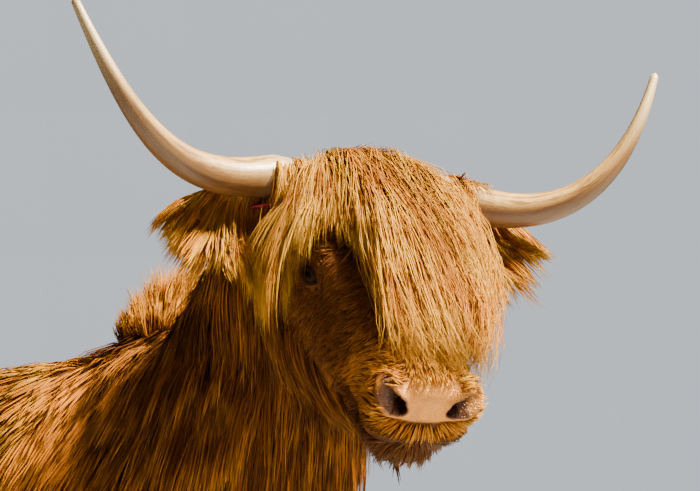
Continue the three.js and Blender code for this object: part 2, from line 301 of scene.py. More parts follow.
# Sections of the bare face and skull, from the nape to the lip: distance ahead of the poll, top,
# bottom, half width.
SKULL = np.array(
    [
        (-0.060, -0.080, -0.175, 0.048),
        (-0.035, -0.022, -0.246, 0.096),
        (0.005, 0.004, -0.276, 0.114),
        (0.070, 0.009, -0.283, 0.121),
        (0.140, 0.004, -0.279, 0.119),
        (0.202, -0.003, -0.254, 0.109),
        (0.270, -0.008, -0.215, 0.092),
        (0.335, -0.010, -0.168, 0.080),
        (0.390, -0.011, -0.140, 0.076),
        (0.440, -0.017, -0.126, 0.076),
        (0.475, -0.026, -0.117, 0.070),
        (0.520, -0.032, -0.113, 0.066),
    ]
)
MUZZLE_FRONT = 0.483
# The lower jaw, from the throat to the chin.
JAW = np.array(
    [
        (0.220, -0.116, -0.215, 0.070),
        (0.300, -0.110, -0.190, 0.064),
        (0.380, -0.106, -0.172, 0.058),
        (0.440, -0.106, -0.168, 0.055),
        (0.520, -0.106, -0.160, 0.050),
    ]
)
JAW_BACK, CHIN_FRONT = 0.235, 0.470
# The opening of a nostril, from its round inner end to its tail: a point on the rim's middle
# line and half the width there.
NOSTRIL = np.array(
    [
        (0.0350, -0.4810, -0.0610, 0.0075),
        (0.0440, -0.4825, -0.0520, 0.0115),
        (0.0545, -0.4800, -0.0425, 0.0115),
        (0.0640, -0.4730, -0.0345, 0.0070),
        (0.0665, -0.4600, -0.0265, 0.0022),
    ]
)
NOSTRIL_IN = unit(np.array([-0.34, 0.93, -0.12]))
NOSTRIL_DEPTH, RIM_HEIGHT = 0.034, 0.0024
MOUTH_BELOW = 0.1085


def soft_low(a, b, reach):
    """The lower of two distances, blended where they are within reach of each other."""
    share = np.clip(0.5 + 0.5 * (b - a) / reach, 0, 1)
    return b + (a - b) * share - reach * share * (1 - share)


def soft_high(a, b, reach):
    return -soft_low(-a, -b, reach)


def along_rows(rows, ahead, squareness, points):
    """Signed distance, nearly, from a body whose sections are given in rows."""
    fine = np.linspace(rows[0, 0], rows[-1, 0], 200)
    bell = np.hanning(21)[1:-1]
    sizes = []
    for column in (1, 2, 3):
        padded = np.pad(np.interp(fine, rows[:, 0], rows[:, column]), 9, mode="edge")
        smooth = np.convolve(padded, bell / bell.sum(), "same")
        sizes.append(np.interp(ahead, fine, smooth[9:-9]))
    top, bottom, half = sizes
    tall = (top - bottom) / 2
    across = np.abs(points[:, 0]) / half
    height = np.abs(points[:, 2] - (top + bottom) / 2) / tall
    ratio = (across**squareness + height**squareness) ** (1 / squareness)
    return (ratio - 1) * np.minimum(tall, half)


def ball_distance(points, centre, radii):
    """Signed distance, nearly, from an ellipsoid."""
    scaled = (points - np.array(centre)) / np.array(radii)
    return (np.linalg.norm(scaled, axis=1) - 1) * min(radii)


# The eye looks outwards and a little ahead; the slit between the lids runs along the face.
EYE_LOOK = unit(np.array([0.86, -0.47, 0.18]))
SLIT_LINE = np.array([0.30, 0.92, 0.06])
SLIT_LINE = unit(SLIT_LINE - EYE_LOOK * (SLIT_LINE @ EYE_LOOK))
SLIT_UP = np.cross(EYE_LOOK, SLIT_LINE)
SLIT_UP *= np.sign(SLIT_UP[2])
SLIT_HALF, SLIT_OPEN = 0.0185, 0.0135
LID_THICKNESS, SOCKET_DEPTH, FOLD_DEPTH = 0.0036, 0.0082, 0.0012
EYE_PLACE = np.array([EYE_OUT, -EYE_AHEAD, -EYE_BELOW])


# The forms on each half of the face: brow, cheek, wing of the nostril and upper lip, each with
# its middle, its radii and how far it blends into the head.
FACE_FORMS = (
    ((0.079, -0.192, -0.038), (0.022, 0.044, 0.019), 0.022),
    ((0.076, -0.285, -0.110), (0.018, 0.080, 0.026), 0.025),
    ((0.056, -0.464, -0.052), (0.022, 0.026, 0.032), 0.014),
    ((0.036, -0.462, -0.106), (0.034, 0.026, 0.015), 0.012),
)


def bare_face(points, fine=True):
    """Signed distance, nearly, from the bare head, in the head's frame."""
    ahead = -points[:, 1]
    folded = points.copy()
    folded[:, 0] = np.abs(points[:, 0])
    skull = along_rows(SKULL, ahead, 2.35, points)
    front = ahead - MUZZLE_FRONT + 0.10 * np.maximum(points[:, 2] + 0.06, 0)
    upper = soft_high(skull, front + 1.6 * points[:, 0] ** 2, 0.022)
    jaw = along_rows(JAW, ahead, 2.2, points)
    jaw = soft_high(jaw, ahead - CHIN_FRONT + 3.0 * points[:, 0] ** 2, 0.022)
    jaw = soft_high(jaw, JAW_BACK - ahead, 0.03)
    if not fine:
        return soft_low(upper, jaw, 0.02)
    head = soft_low(upper, jaw, 0.006)
    for centre, radii, blend in FACE_FORMS:
        head = soft_low(head, ball_distance(folded, centre, radii), blend)
    lid_ball = np.linalg.norm(folded - EYE_PLACE, axis=1) - EYE_RADIUS - LID_THICKNESS
    return soft_low(head, lid_ball, 0.009)


def slopes(points, field, reach=0.0006):
    """How fast a field rises along each axis."""
    slope = np.empty_like(points)
    for axis in range(3):
        step = np.zeros(3)
        step[axis] = reach
        slope[:, axis] = (field(points + step) - field(points - step)) / (2 * reach)
    return slope


def drawn_onto(points, field, rounds, longest=0.004):
    """Moves points onto the surface where the field is zero."""
    for _ in range(rounds):
        slope = slopes(points, field)
        steep = np.maximum((slope**2).sum(1), 0.15)
        move = -slope * (field(points) / steep)[:, None]
        length = np.linalg.norm(move, axis=1, keepdims=True)
        points = points + move * np.minimum(1, longest / np.maximum(length, 1e-9))
    return points


def share_of_face(place, start, end):
    """How far points of the head are shaped as a face: 0 behind start, 1 ahead of end."""
    beside, above = np.abs(place[:, 0]), np.abs(place[:, 2] + 0.1)
    return eased(-place[:, 1], start, end) * (beside < 0.2) * (above < 0.26)


local = in_head(skin_points)
facing = share_of_face(local, 0.02, 0.09)
face = facing > 0
plain = drawn_onto(local[face], lambda p: bare_face(p, False), 8, 0.008)
local[face] += (plain - local[face]) * facing[face, None]
skin_points = from_head(local)

hide.vertices.foreach_set("co", skin_points.ravel())
hide.update()
work = bmesh.new()
work.from_mesh(hide)
bmesh.ops.bisect_plane(
    work,
    geom=work.verts[:] + work.edges[:] + work.faces[:],
    plane_co=(0, 0, CORONET),
    plane_no=(0, 0, -1),
    clear_outer=True,
)
bmesh.ops.holes_fill(work, edges=[edge for edge in work.edges if edge.is_boundary])
# The mesh is made finer four times: all over the face, twice round the eyes and the muzzle, and
# last round the eyes alone.
eye_centres = [Vector(from_head(EYE_PLACE * (side, 1, 1))) for side in (1, -1)]
muzzle_centre = Vector(from_head(np.array([0, -0.462, -0.080])))
for face_from, eye_reach, muzzle_reach in (
    (-0.13, 0, 0), (-9, 0.058, 0.105), (-9, 0.034, 0.070), (-9, 0.0265, 0)
):
    edges = set()
    for part in work.faces:
        point = part.calc_center_median()
        if (
            in_head(np.array(point))[1] < face_from
            or any((point - centre).length < eye_reach for centre in eye_centres)
            or (point - muzzle_centre).length < muzzle_reach
        ):
            edges.update(part.edges)
    bmesh.ops.subdivide_edges(work, edges=list(edges), cuts=1, use_grid_fill=True)
bmesh.ops.triangulate(work, faces=work.faces[:])
work.to_mesh(hide)
work.free()

skin_points = corners_of(hide)
skin_edges = edges_of(hide)
local = in_head(skin_points)
facing = share_of_face(local, 0.10, 0.16)
face = facing > 0
SHAPING_ROUNDS = 5
for shaping in range(SHAPING_ROUNDS):
    local[face] += (drawn_onto(local[face], bare_face, 3) - local[face]) * facing[face, None]
    if shaping < SHAPING_ROUNDS - 1:
        local[face] += 0.5 * (relaxed(local, skin_edges, 0.5)[face] - local[face])


def mirror_at(points):
    """What turns a form of the left half of the head into one for the half of each point."""
    return np.where(points[:, :1] < 0, (-1, 1, 1), (1, 1, 1))


def folded_over(points):
    """The same points, all on the left half of the head."""
    return points * mirror_at(points)


def beyond_nostril(points):
    """How far points of the muzzle lie outside the rim of the nearer nostril."""
    flat = folded_over(points)
    flat = flat - np.outer(flat @ NOSTRIL_IN, NOSTRIL_IN)
    line = NOSTRIL[:, :3] - np.outer(NOSTRIL[:, :3] @ NOSTRIL_IN, NOSTRIL_IN)
    nearest = np.full(len(flat), 9.0)
    for start, end, near, far in zip(line[:-1], line[1:], NOSTRIL[:-1, 3], NOSTRIL[1:, 3]):
        run = end - start
        share = np.clip((flat - start) @ run / (run @ run), 0, 1)
        gap = np.linalg.norm(flat - start - share[:, None] * run, axis=1)
        nearest = np.minimum(nearest, gap - near - share * (far - near))
    return np.where(points[:, 1] < -0.44, nearest, 9.0)


def beyond_lids(points):
    """How far points round an eye lie outside the slit between its lids."""
    from_eye = folded_over(points) - EYE_PLACE
    reach = np.linalg.norm(from_eye, axis=1)
    along_look = from_eye @ EYE_LOOK
    beside = from_eye @ SLIT_LINE
    limit = SLIT_OPEN * (1 - np.clip(np.abs(beside) / SLIT_HALF, 0, 1.2) ** 2)
    gap = (np.abs(from_eye @ SLIT_UP) - limit) * 0.8
    return np.where((along_look > 0.004) & (reach < 0.030), gap, 9.0)


lid_gap = beyond_lids(local)
outwards = unit(folded_over(local) - EYE_PLACE)
fold = FOLD_DEPTH * np.exp(-(((lid_gap - 0.0055) / 0.0014) ** 2))
swing = outwards * (-SOCKET_DEPTH * eased(lid_gap, 0.0006, -0.0014) - fold)[:, None]
local += swing * mirror_at(local)
outside = beyond_nostril(local)
inward = NOSTRIL_IN * mirror_at(local)
rim = RIM_HEIGHT * np.exp(-(((outside - 0.003) / 0.0035) ** 2))
local += inward * (NOSTRIL_DEPTH * eased(outside, 0.0005, -0.0075) - rim)[:, None]
skin_points = from_head(local)
hide.vertices.foreach_set("co", skin_points.ravel())
skin_triangles = triangles_of(hide)

# The ears are thin cupped leaves that stand out level, with the hollow side to the front.
HANGING = np.array([0.0, -math.sin(HEAD_NOD), -math.cos(HEAD_NOD)])
EAR_FRONT = np.array([0.0, -math.cos(HEAD_NOD), math.sin(HEAD_NOD)])
EAR_BEHIND, EAR_BELOW = -0.062, -0.083
EAR_START, EAR_LENGTH, EAR_THICKNESS = 0.070, 0.205, 0.0035


def tube_faces(rings, around):
    """The triangles of a closed tube, from ring to ring and over both ends."""
    faces = []
    for ring in range(rings - 1):
        for i in range(around):
            a, b = ring * around + i, ring * around + (i + 1) % around
            faces += [(a, b, b + around), (a, b + around, a + around)]
    for start, order in ((0, -1), ((rings - 1) * around, 1)):
        faces += [(start, start + i, start + i + 1)[::order] for i in range(1, around - 1)]
    return np.array(faces)


def ear_leaf(side, stations=26, across=15):
    """The closed leaf of one ear, in the head's frame."""
    along = np.linspace(0, 1, stations)
    half = 0.018 * (1 - along) ** 1.5 + 0.047 * np.sin(math.pi * along**0.8) ** 0.9 + 0.0006
    out = side * (EAR_START + EAR_LENGTH * along)
    centre = np.stack([out, np.full(stations, EAR_BEHIND), np.full(stations, EAR_BELOW)], 1)
    centre += np.outer(0.016 - 0.036 * along, HANGING)
    turn = np.linspace(-1, 1, across)
    sheets = []
    for face in (-1, 1):
        thick = EAR_THICKNESS * (1 - turn[:, None] ** 4) * (1 - 0.7 * along)
        cup = (0.55 * turn[:, None] ** 2 - 0.2) * half
        sheet = centre + half[None, :, None] * turn[:, None, None] * HANGING
        sheet = sheet + (cup + face * thick)[:, :, None] * EAR_FRONT
        sheets.append(sheet if face < 0 else sheet[::-1])
    ring = np.concatenate(sheets)
    faces = tube_faces(stations, len(ring))
    return ring.transpose(1, 0, 2).reshape(-1, 3), faces[:, ::-1] if side > 0 else faces


first_leaf_corner = len(skin_points)
for side in (1, -1):
    leaf, leaf_faces = ear_leaf(side)
    skin_triangles = np.concatenate([skin_triangles, leaf_faces + len(skin_points)])
    skin_points = np.concatenate([skin_points, from_head(leaf)])
hide = new_mesh("skin", skin_points, skin_triangles)
skin_normals = corner_normals(skin_points, skin_triangles)
local = in_head(skin_points)
on_leaf = np.arange(len(local)) >= first_leaf_corner

# Bare places: the nose pad, the rims and insides of the nostrils, the lids, the mouth, the udder.
PAD_COLOUR = (0.88, 0.33, 0.036)
PAD_WIDE, PAD_TALL = 0.050, 0.0285
outside = np.where(on_leaf, 9, beyond_nostril(local))
lid_gap = np.where(on_leaf, 9, beyond_lids(local))
front = eased(-local[:, 1], 0.440, 0.462) * ~on_leaf
pad_reach = np.abs(local[:, 0] / PAD_WIDE) ** 2.6
pad_reach += np.abs((local[:, 2] + 0.050) / PAD_TALL) ** 2.6
pad = front * np.maximum(eased(pad_reach, 1.25, 0.8), eased(outside, 0.007, 0.004))
rims = front * eased(outside, 0.0045, 0.001)
# Painted shade: the deep inside of each nostril is darkened.
nostril_shade = front * eased(outside, 0.0005, -0.0025)
philtrum = front * eased(np.hypot(local[:, 0] / 0.026, (local[:, 2] + 0.092) / 0.014), 1.4, 0.4)
# Painted shade: a dark line along the crease of the mouth.
mouth_crease_shade = eased(np.abs(local[:, 2] + MOUTH_BELOW), 0.0060, 0.0035)
mouth_crease_shade *= eased(-local[:, 1], 0.33, 0.38)
mouth_crease_shade *= eased(np.abs(local[:, 0]), 0.075, 0.06) * ~on_leaf
lids = eased(lid_gap, 0.0045, 0.002)
udder_low, udder_high = (np.array(v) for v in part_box("udder"))
inside_box = ((skin_points > udder_low - 0.004) & (skin_points < udder_high + 0.004)).all(1)
udder = 0.85 * inside_box * eased(skin_points[:, 2], udder_high[2] - 0.005, udder_high[2] - 0.03)
tint = np.zeros((len(local), 4))
for amount, colour in (
    (udder, (0.55, 0.27, 0.16)),
    (pad, PAD_COLOUR),
    (philtrum, (0.040, 0.014, 0.007)),
    (rims, (0.17, 0.050, 0.022)),
    (lids, (0.035, 0.012, 0.007)),
    (mouth_crease_shade, (0.045, 0.016, 0.008)),
    (nostril_shade, (0.012, 0.004, 0.003)),
):
    amount = amount[:, None]
    tint[:, :3] += amount * (np.array(colour) - tint[:, :3])
    tint[:, 3:] += amount * (1 - tint[:, 3:])
tint[:, :3] /= np.maximum(tint[:, 3:], 1e-6)
painted(hide, "tint", tint)
painted(hide, "wet", pad)
bare_share = np.maximum(tint[:, 3] - philtrum, 0)


class Nodes:
    """Short ways to add shader nodes to one material."""

    def __init__(self, name):
        self.material = bpy.data.materials.new(name)
        self.material.use_nodes = True
        self.tree = self.material.node_tree
        self.shader = self.tree.nodes["Principled BSDF"]

    def feed(self, socket, value):
        """Joins another node's output to a socket, or sets a plain value there."""
        if isinstance(value, bpy.types.NodeSocket):
            self.tree.links.new(value, socket)
        else:
            socket.default_value = value

    def set(self, node, **values):
        for name, value in values.items():
            self.feed(node.inputs[name.replace("_", " ")], value)
        return node

    def add(self, kind, **values):
        return self.set(self.tree.nodes.new(kind), **values)

    def mix(self, share, first, second):
        node = self.tree.nodes.new("ShaderNodeMix")
        node.data_type = "RGBA"
        for index, value in ((0, share), (6, first), (7, second)):
            self.feed(node.inputs[index], (*value, 1) if isinstance(value, tuple) else value)
        return node.outputs[2]

    def sums(self, operation, first, second=0.0, third=0.0):
        node = self.tree.nodes.new("ShaderNodeMath")
        node.operation = operation
        for socket, value in zip(node.inputs, (first, second, third)):
            self.feed(socket, value)
        return node.outputs[0]

    def ramp(self, value, start, end, low, high):
        """Runs softly from low at start to high at end."""
        node = self.add("ShaderNodeMapRange", Value=value, From_Min=start, From_Max=end,
                        To_Min=low, To_Max=high)
        node.interpolation_type = "SMOOTHSTEP"
        return node.outputs["Result"]

    def noise(self, vector, scale, detail=3.0, roughness=0.5):
        node = self.add("ShaderNodeTexNoise", Vector=vector, Scale=scale, Detail=detail,
                        Roughness=roughness)
        return node.outputs["Fac"]

    def object_place(self):
        return self.tree.nodes.new("ShaderNodeTexCoord").outputs["Object"]

    def attribute(self, name, output="Fac"):
        node = self.tree.nodes.new("ShaderNodeAttribute")
        node.attribute_name = name
        return node.outputs[output]

    def bump(self, height, distance, strength):
        node = self.add("ShaderNodeBump", Distance=distance, Strength=strength, Height=height)
        self.set(self.shader, Normal=node.outputs["Normal"])


GINGER, DEEP_GINGER, STRAW = (0.86, 0.27, 0.010), (0.110, 0.032, 0.008), (0.98, 0.53, 0.050)


def markings(nodes):
    """The animal's own colour, shared by its skin and its coat: ginger, with deeper patches."""
    place = nodes.object_place()
    patches = nodes.ramp(nodes.noise(place, 3.1, 2.0), 0.42, 0.68, 0.0, 0.55)
    return nodes.mix(patches, GINGER, DEEP_GINGER)


hide_look = Nodes("skin")
place = hide_look.object_place()
under = hide_look.mix(0.8, markings(hide_look), (0.060, 0.018, 0.006))
grain = hide_look.noise(place, 420.0, 4.0, 0.6)
under = hide_look.mix(hide_look.ramp(grain, 0.35, 0.65, 0.0, 0.5), under, (0.13, 0.045, 0.012))
wetness = hide_look.attribute("wet")
mottle = hide_look.ramp(hide_look.noise(place, 60.0, 3.0), 0.4, 0.7, 0.0, 0.35)
mottle = hide_look.sums("MULTIPLY", mottle, wetness)
bare_colour = hide_look.mix(mottle, hide_look.attribute("tint", "Color"), (0.42, 0.14, 0.05))
hide_look.set(
    hide_look.shader,
    Base_Color=hide_look.mix(hide_look.attribute("tint", "Alpha"), under, bare_colour),
    Roughness=hide_look.ramp(wetness, 0.0, 1.0, 0.75, 0.26),
    Specular_IOR_Level=hide_look.ramp(wetness, 0.0, 1.0, 0.12, 0.40),
)
cells = hide_look.add("ShaderNodeTexVoronoi", Vector=place, Scale=330.0)
cells.feature = "DISTANCE_TO_EDGE"
pebbles = hide_look.ramp(cells.outputs["Distance"], 0.0, 0.35, 0.0, 1.0)
pebbles = hide_look.sums("MULTIPLY", pebbles, wetness)
hide_look.bump(hide_look.sums("ADD", pebbles, grain), 0.0009, 0.8)
hide.materials.append(hide_look.material)
place_piece("skin", hide, FLESH + ["ear_left", "ear_right"])

# ---- Horns ----
# Horn sheaths that sit over bony cores beside the poll and sweep out, forwards and up. They are
# ivory and tan, ringed and rough near the root, and smooth and rounded at the tip.
HORN_LINES = {
    "right": [(-0.072, -0.008, -0.020), (-0.257, -0.058, -0.046), (-0.345, -0.145, 0.050),
              (-0.457, 0.042, 0.194)],
    "left": [(0.072, -0.008, -0.020), (0.266, -0.074, -0.068), (0.358, -0.154, 0.040),
             (0.437, 0.042, 0.181)],
}
# The radius at the root and the tip, how late the horn tapers, how far the root sinks into the
# head, and how much the growth rings stand out.
HORN_ROOT, HORN_TIP, HORN_TAPER = 0.033, 0.006, 1.35
ROOT_SUNK, RING_SHARE = 0.010, 0.012
HORN_RINGS, HORN_AROUND = 120, 44
horn_look = Nodes("horn")
grain = horn_look.attribute("grain", "Vector")
along = horn_look.attribute("along")
streaks = horn_look.noise(grain, 3.2, 4.0, 0.65)
specks = horn_look.noise(grain, 21.0, 3.0, 0.7)
above = horn_look.attribute("above")
ivory = (0.64, 0.38, 0.120)
# The third mix darkens the underside of each horn: partly the horn's own darker colour, partly
# painted shade from the light above.
for value, stops, colour in (
    (streaks, (0.44, 0.62, 0.0, 0.85), (0.17, 0.068, 0.018)),
    (specks, (0.50, 0.66, 0.0, 0.7), (0.17, 0.07, 0.018)),
    (above, (0.60, -0.35, 0.0, 0.90), (0.11, 0.043, 0.014)),
    (along, (0.75, 1.0, 0.0, 0.5), (0.80, 0.62, 0.36)),
    (along, (0.0, 0.22, 0.45, 0.0), (0.90, 0.76, 0.50)),
):
    ivory = horn_look.mix(horn_look.ramp(value, *stops), ivory, colour)
horn_look.set(
    horn_look.shader,
    Base_Color=ivory,
    Roughness=horn_look.ramp(specks, 0.3, 0.7, 0.26, 0.48),
    Coat_Weight=0.15,
    Coat_Roughness=0.25,
)
fine_specks = horn_look.sums("MULTIPLY", specks, 0.5)
horn_look.bump(horn_look.sums("ADD", streaks, fine_specks), 0.0012, 0.5)
horn_points, horn_faces = [], []
for side_name, line in HORN_LINES.items():
    line = np.array(line)
    share = np.linspace(0, 1, HORN_RINGS)[:, None]
    centre = (
        (1 - share) ** 3 * line[0]
        + 3 * (1 - share) ** 2 * share * line[1]
        + 3 * (1 - share) * share**2 * line[2]
        + share**3 * line[3]
    )
    run = unit(np.gradient(centre, axis=0))
    up = unit(np.cross(run, (0, -1, 0)))
    side = np.cross(run, up)
    radius = HORN_ROOT + (HORN_TIP - HORN_ROOT) * share**HORN_TAPER - 0.0004
    sunk = eased(share, 0.13, 0.0)
    radius = radius * (1 - 0.25 * sunk)
    centre = centre + ROOT_SUNK * sunk * HANGING
    growth = np.sin(150 * share**0.8 + 2.0 * np.sin(23 * share)) * (1 - share) ** 4
    radius = radius * (1 + RING_SHARE * growth)
    tip_reach = np.linalg.norm(centre - centre[-1], axis=1)[:, None]
    rounding = 1 - (1 - np.clip(tip_reach / HORN_TIP, 0, 1)) ** 2
    radius = radius * np.sqrt(np.clip(rounding, 0.0004, 1))
    turn = np.linspace(0, 2 * math.pi, HORN_AROUND, endpoint=False)
    wheel = np.cos(turn)[None, :, None] * up[:, None] + np.sin(turn)[None, :, None] * side[:, None]
    points = from_head((centre[:, None] + wheel * radius[:, :, None]).reshape(-1, 3))
    faces = tube_faces(HORN_RINGS, HORN_AROUND)
    mesh = new_mesh("horn_" + side_name, points, faces)
    horn_faces += (faces + len(horn_points)).tolist()
    horn_points += points.tolist()
    down_horn = np.repeat(share[:, 0] * 2.2, HORN_AROUND) + (7 if side_name == "left" else 0)
    grain_at = [np.tile(np.cos(turn), HORN_RINGS), np.tile(np.sin(turn), HORN_RINGS), down_horn]
    painted(mesh, "grain", np.stack(grain_at, 1))
    # How far each point faces up; the material darkens the underside with it, partly as painted
    # shade.
    painted(mesh, "above", (wheel @ -HANGING).ravel())
    painted(mesh, "along", np.repeat(share[:, 0], HORN_AROUND))
    mesh.materials.append(horn_look.material)
    place_piece("horn_sheath_" + side_name, mesh, ("horn_" + side_name,))
horn_tree = BVHTree.FromPolygons(horn_points, horn_faces)

# ---- Short coat of the face ----
# Short stiff hair over the bridge of the nose, round the eyes and over the lips. It lies towards
# the muzzle on the bridge and spreads away from the nose pad round the lips.
skin_tree = BVHTree.FromPolygons(skin_points.tolist(), skin_triangles.tolist())
middles = skin_points[skin_triangles].mean(1)
middle_bare = bare_share[skin_triangles].mean(1)
middle_parts = parts_at(middles)
middle_parts[(skin_triangles >= first_leaf_corner).any(1)] = "ear"
head_middles = in_head(middles)
HEAD_PARTS = ("head", "jaw", "nose")
FACE_START = -0.09
DOWN = np.array([0.0, 0.0, -1.0])


def nearest_skin(points, over):
    """The nearest places on the skin, or on what stands out of it, and the normals there."""
    near, out = np.empty_like(points), np.empty_like(points)
    for i, point in enumerate(points.tolist()):
        near[i], out[i] = skin_tree.find_nearest(point)[:2]
        if over:
            place, normal = over.find_nearest(point, 0.06)[:2]
            if place and (Vector(point) - place).dot(normal) < (points[i] - near[i]) @ out[i]:
                near[i], out[i] = place, normal
    return near, out


def rooted(weights, count, draws, surface=None):
    """Random hair roots on the skin, or another surface, and the normals there."""
    points, triangles, normals = surface or (skin_points, skin_triangles, skin_normals)
    chosen, shares = scattered(points, triangles, count, draws, weights)
    corners = triangles[chosen]
    return blended(points, corners, shares), unit(blended(normals, corners, shares))


def flattened(ways, normals):
    """Unit directions, laid down into the surface that has these normals."""
    return unit(ways - normals * (ways * normals).sum(-1, keepdims=True))


def combed(roots, normals, lengths, lie, heights, rise, follow, fall, steps=10, held=None,
           over=None):
    """Paths of hairs that leave the skin, follow the lie of the coat, bend with their own weight
    and stay clear of the skin by their place in the coat. Rise, follow and fall say how steeply
    they leave it, how closely they keep to its lie, and how much they sag."""

    def lifted(place, share):
        near, out = nearest_skin(place, over)
        height = ((place - near) * out).sum(1)
        wanted = (heights(near, out) if callable(heights) else heights) * min(1.0, 2.2 * share)
        place = place + out * np.maximum(wanted - height, 0)[:, None]
        return (held(place) if held else place), out

    heading = unit(flattened(lie(roots, normals), normals) + normals * rise)
    place, paths = roots, [roots]
    for step in range(1, steps + 1):
        place = place + heading * (lengths / steps)[:, None]
        place, out = lifted(place, step / steps)
        flow = flattened(lie(place, out), out)
        heading = unit(unit(place - paths[-1]) + flow * follow + DOWN * fall)
        paths.append(place)
    paths = np.stack(paths, 1)
    for smoothing in range(6):
        paths[:, 1:-1] = 0.25 * paths[:, :-2] + 0.5 * paths[:, 1:-1] + 0.25 * paths[:, 2:]
        if smoothing == 1:
            for step in range(1, steps + 1):
                paths[:, step] = lifted(paths[:, step], step / steps)[0]
    return paths


def length_along(paths):
    """How long each path is up to each of its points."""
    steps = np.linalg.norm(np.diff(paths, axis=1), axis=2)
    return np.concatenate([np.zeros((len(paths), 1)), np.cumsum(steps, 1)], 1)


def respaced(paths, count, cut=1.0, crowd=1.0):
    """The same paths, cut to a share of their length, with the steps crowded to the root."""
    run = length_along(paths)
    rows = np.arange(len(paths))
    places = []
    for share in np.linspace(0, 1, count + 1) ** crowd:
        target = run[:, -1] * cut * share
        after = np.clip((run < target[:, None]).sum(1), 1, run.shape[1] - 1)
        gap = np.maximum(run[rows, after] - run[rows, after - 1], 1e-9)
        part = np.clip((target - run[rows, after - 1]) / gap, 0, 1)[:, None]
        places.append(paths[rows, after - 1] * (1 - part) + paths[rows, after] * part)
    return np.stack(places, 1)


def ended(paths, inside, steps):
    """The same paths, cut where they first come inside a space that stays open."""
    first = np.where(inside.any(1), inside.argmax(1), paths.shape[1] - 1)
    run = length_along(paths)
    return respaced(paths, steps, np.clip(run[np.arange(len(paths)), first] / run[:, -1], 0.12, 1))


# How much closer the rings of a tuft stand near its root, how high its blade is for its width,
# and the side of its own patch in the map that is baked.
CROWDED, BLADE_HEIGHT, PATCH_SIDE = 1.4, 0.62, 0.003


def coat(name, look, paths, roots, normals, width, rings, unwrap, seed, gather, wave, tones,
         replaced=(), left_open=None):
    """One coat piece. Each tuft follows the nearest of the combed paths, leans in towards the
    tip of that path, and is a solid blade of three sides that tapers to a point. Gather says how
    much it leans in, wave how much it swings, and tones how pale it is, from and to."""
    draws = np.random.default_rng(seed)
    guides = respaced(paths, rings, crowd=CROWDED)
    tree = tree_of(guides[:, 0])
    count = len(roots)
    found = [tree.find_n(root, 3) for root in roots.tolist()]
    leaders = np.array([[one[1] for one in three] for three in found])
    shares = 1 / (np.array([[one[2] for one in three] for three in found]) + 1e-4) ** 2
    shares /= shares.sum(1, keepdims=True)
    leader = leaders[:, 0]
    lead = guides[leader]
    share = np.linspace(0, 1, rings + 1) ** CROWDED
    size = draws.uniform(0.72, 1.08, count)
    reach = ((guides - guides[:, :1])[leaders] * shares[:, :, None, None]).sum(1)
    reach = reach * size[:, None, None]
    pull = gather * draws.uniform(0.5, 1.1, count)[:, None] * share**1.2
    lines = roots[:, None] + reach - (roots - lead[:, 0])[:, None] * pull[:, :, None]
    length = np.linalg.norm(np.diff(reach, axis=1), axis=2).sum(1)
    sideways = unit(np.cross(lead[:, -1] - lead[:, 0], normals) + 0.02)
    turns = draws.uniform(0.7, 1.5, len(guides))[leader]
    start = draws.uniform(0, 6.3, len(guides))[leader] + draws.normal(0, 0.7, count)
    for across, swing in ((sideways, 1.0), (normals, 0.5)):
        bend = np.sin(start[:, None] + 6.28 * turns[:, None] * share) - np.sin(start)[:, None]
        size = swing * wave * length * draws.uniform(0.4, 1.6, count)
        lines = lines + across[:, None] * (size[:, None] * bend * share)[:, :, None]
        start = start + 1.7
    stray = draws.normal(0, 1, (count, 1, 3)) * 0.02
    lines = lines + stray * length[:, None, None] * share[:, None]
    if left_open:
        finer = respaced(lines, 24)
        lines = ended(finer, left_open(finer, draws), rings)

    tangents = np.empty((count, rings, 3))
    tangents[:, 0] = lines[:, 1] - lines[:, 0]
    tangents[:, 1:] = lines[:, 2:] - lines[:, :-2]
    tangents = unit(tangents)
    flat = unit(np.cross(tangents, normals[:, None]) + 0.25 * draws.normal(0, 1, (count, 1, 3)))
    flat = flattened(flat, tangents)
    up = np.cross(flat, tangents)
    taper = (0.6 + 0.4 * np.minimum(1, 4 * share[:-1])) * (1 - share[:-1] ** 2.4) ** 0.9
    half = (0.5 * (width * draws.uniform(0.65, 1.35, count))[:, None] * taper)[:, :, None]
    centre, ridge = lines[:, :rings], up * (BLADE_HEIGHT * half)
    corners = np.stack([centre - flat * half, centre + flat * half, centre + ridge], 2)
    points = np.concatenate([corners.reshape(count, rings * 3, 3), lines[:, -1:]], 1)
    per_tuft = rings * 3 + 1
    faces = [(0, 1, 2)]
    for ring in range(rings):
        for i in range(3):
            a, b = ring * 3 + i, ring * 3 + (i + 1) % 3
            if ring == rings - 1:
                faces.append((a, rings * 3, b))
            else:
                faces += [(a, b + 3, b), (a, a + 3, b + 3)]
    faces = np.array(faces)
    all_faces = faces + (np.arange(count) * per_tuft)[:, None, None]
    mesh = new_mesh(name, points.reshape(-1, 3), all_faces.reshape(-1, 3))
    across = np.append(np.tile([0.0, 1.0, 0.5], rings), 0.5)
    along = np.append(np.repeat(share[:-1], 3), 1.0)
    inside = np.stack([across, along], 1)[faces.ravel()]
    lock = mesh.uv_layers.new(name="lock")
    lock.data.foreach_set("uv", np.tile(inside, (count, 1)).astype(np.float32).ravel())
    spots = unwrap(roots)
    spots = 0.004 + 0.992 * (spots - spots.min(0)) / np.ptp(spots, axis=0)
    patch = spots[:, None] + PATCH_SIDE * (inside[None] - 0.5)
    baked = mesh.uv_layers.new(name="OFBake")
    baked.data.foreach_set("uv", patch.astype(np.float32).ravel())
    low, high = tones
    tone = 0.6 * draws.random(len(guides))[leader] + 0.4 * draws.random(count)
    tone = low + (high - low) * tone
    painted(mesh, "tone", np.repeat(tone, per_tuft))
    mesh.materials.append(look)
    place_piece(name, mesh, replaced)


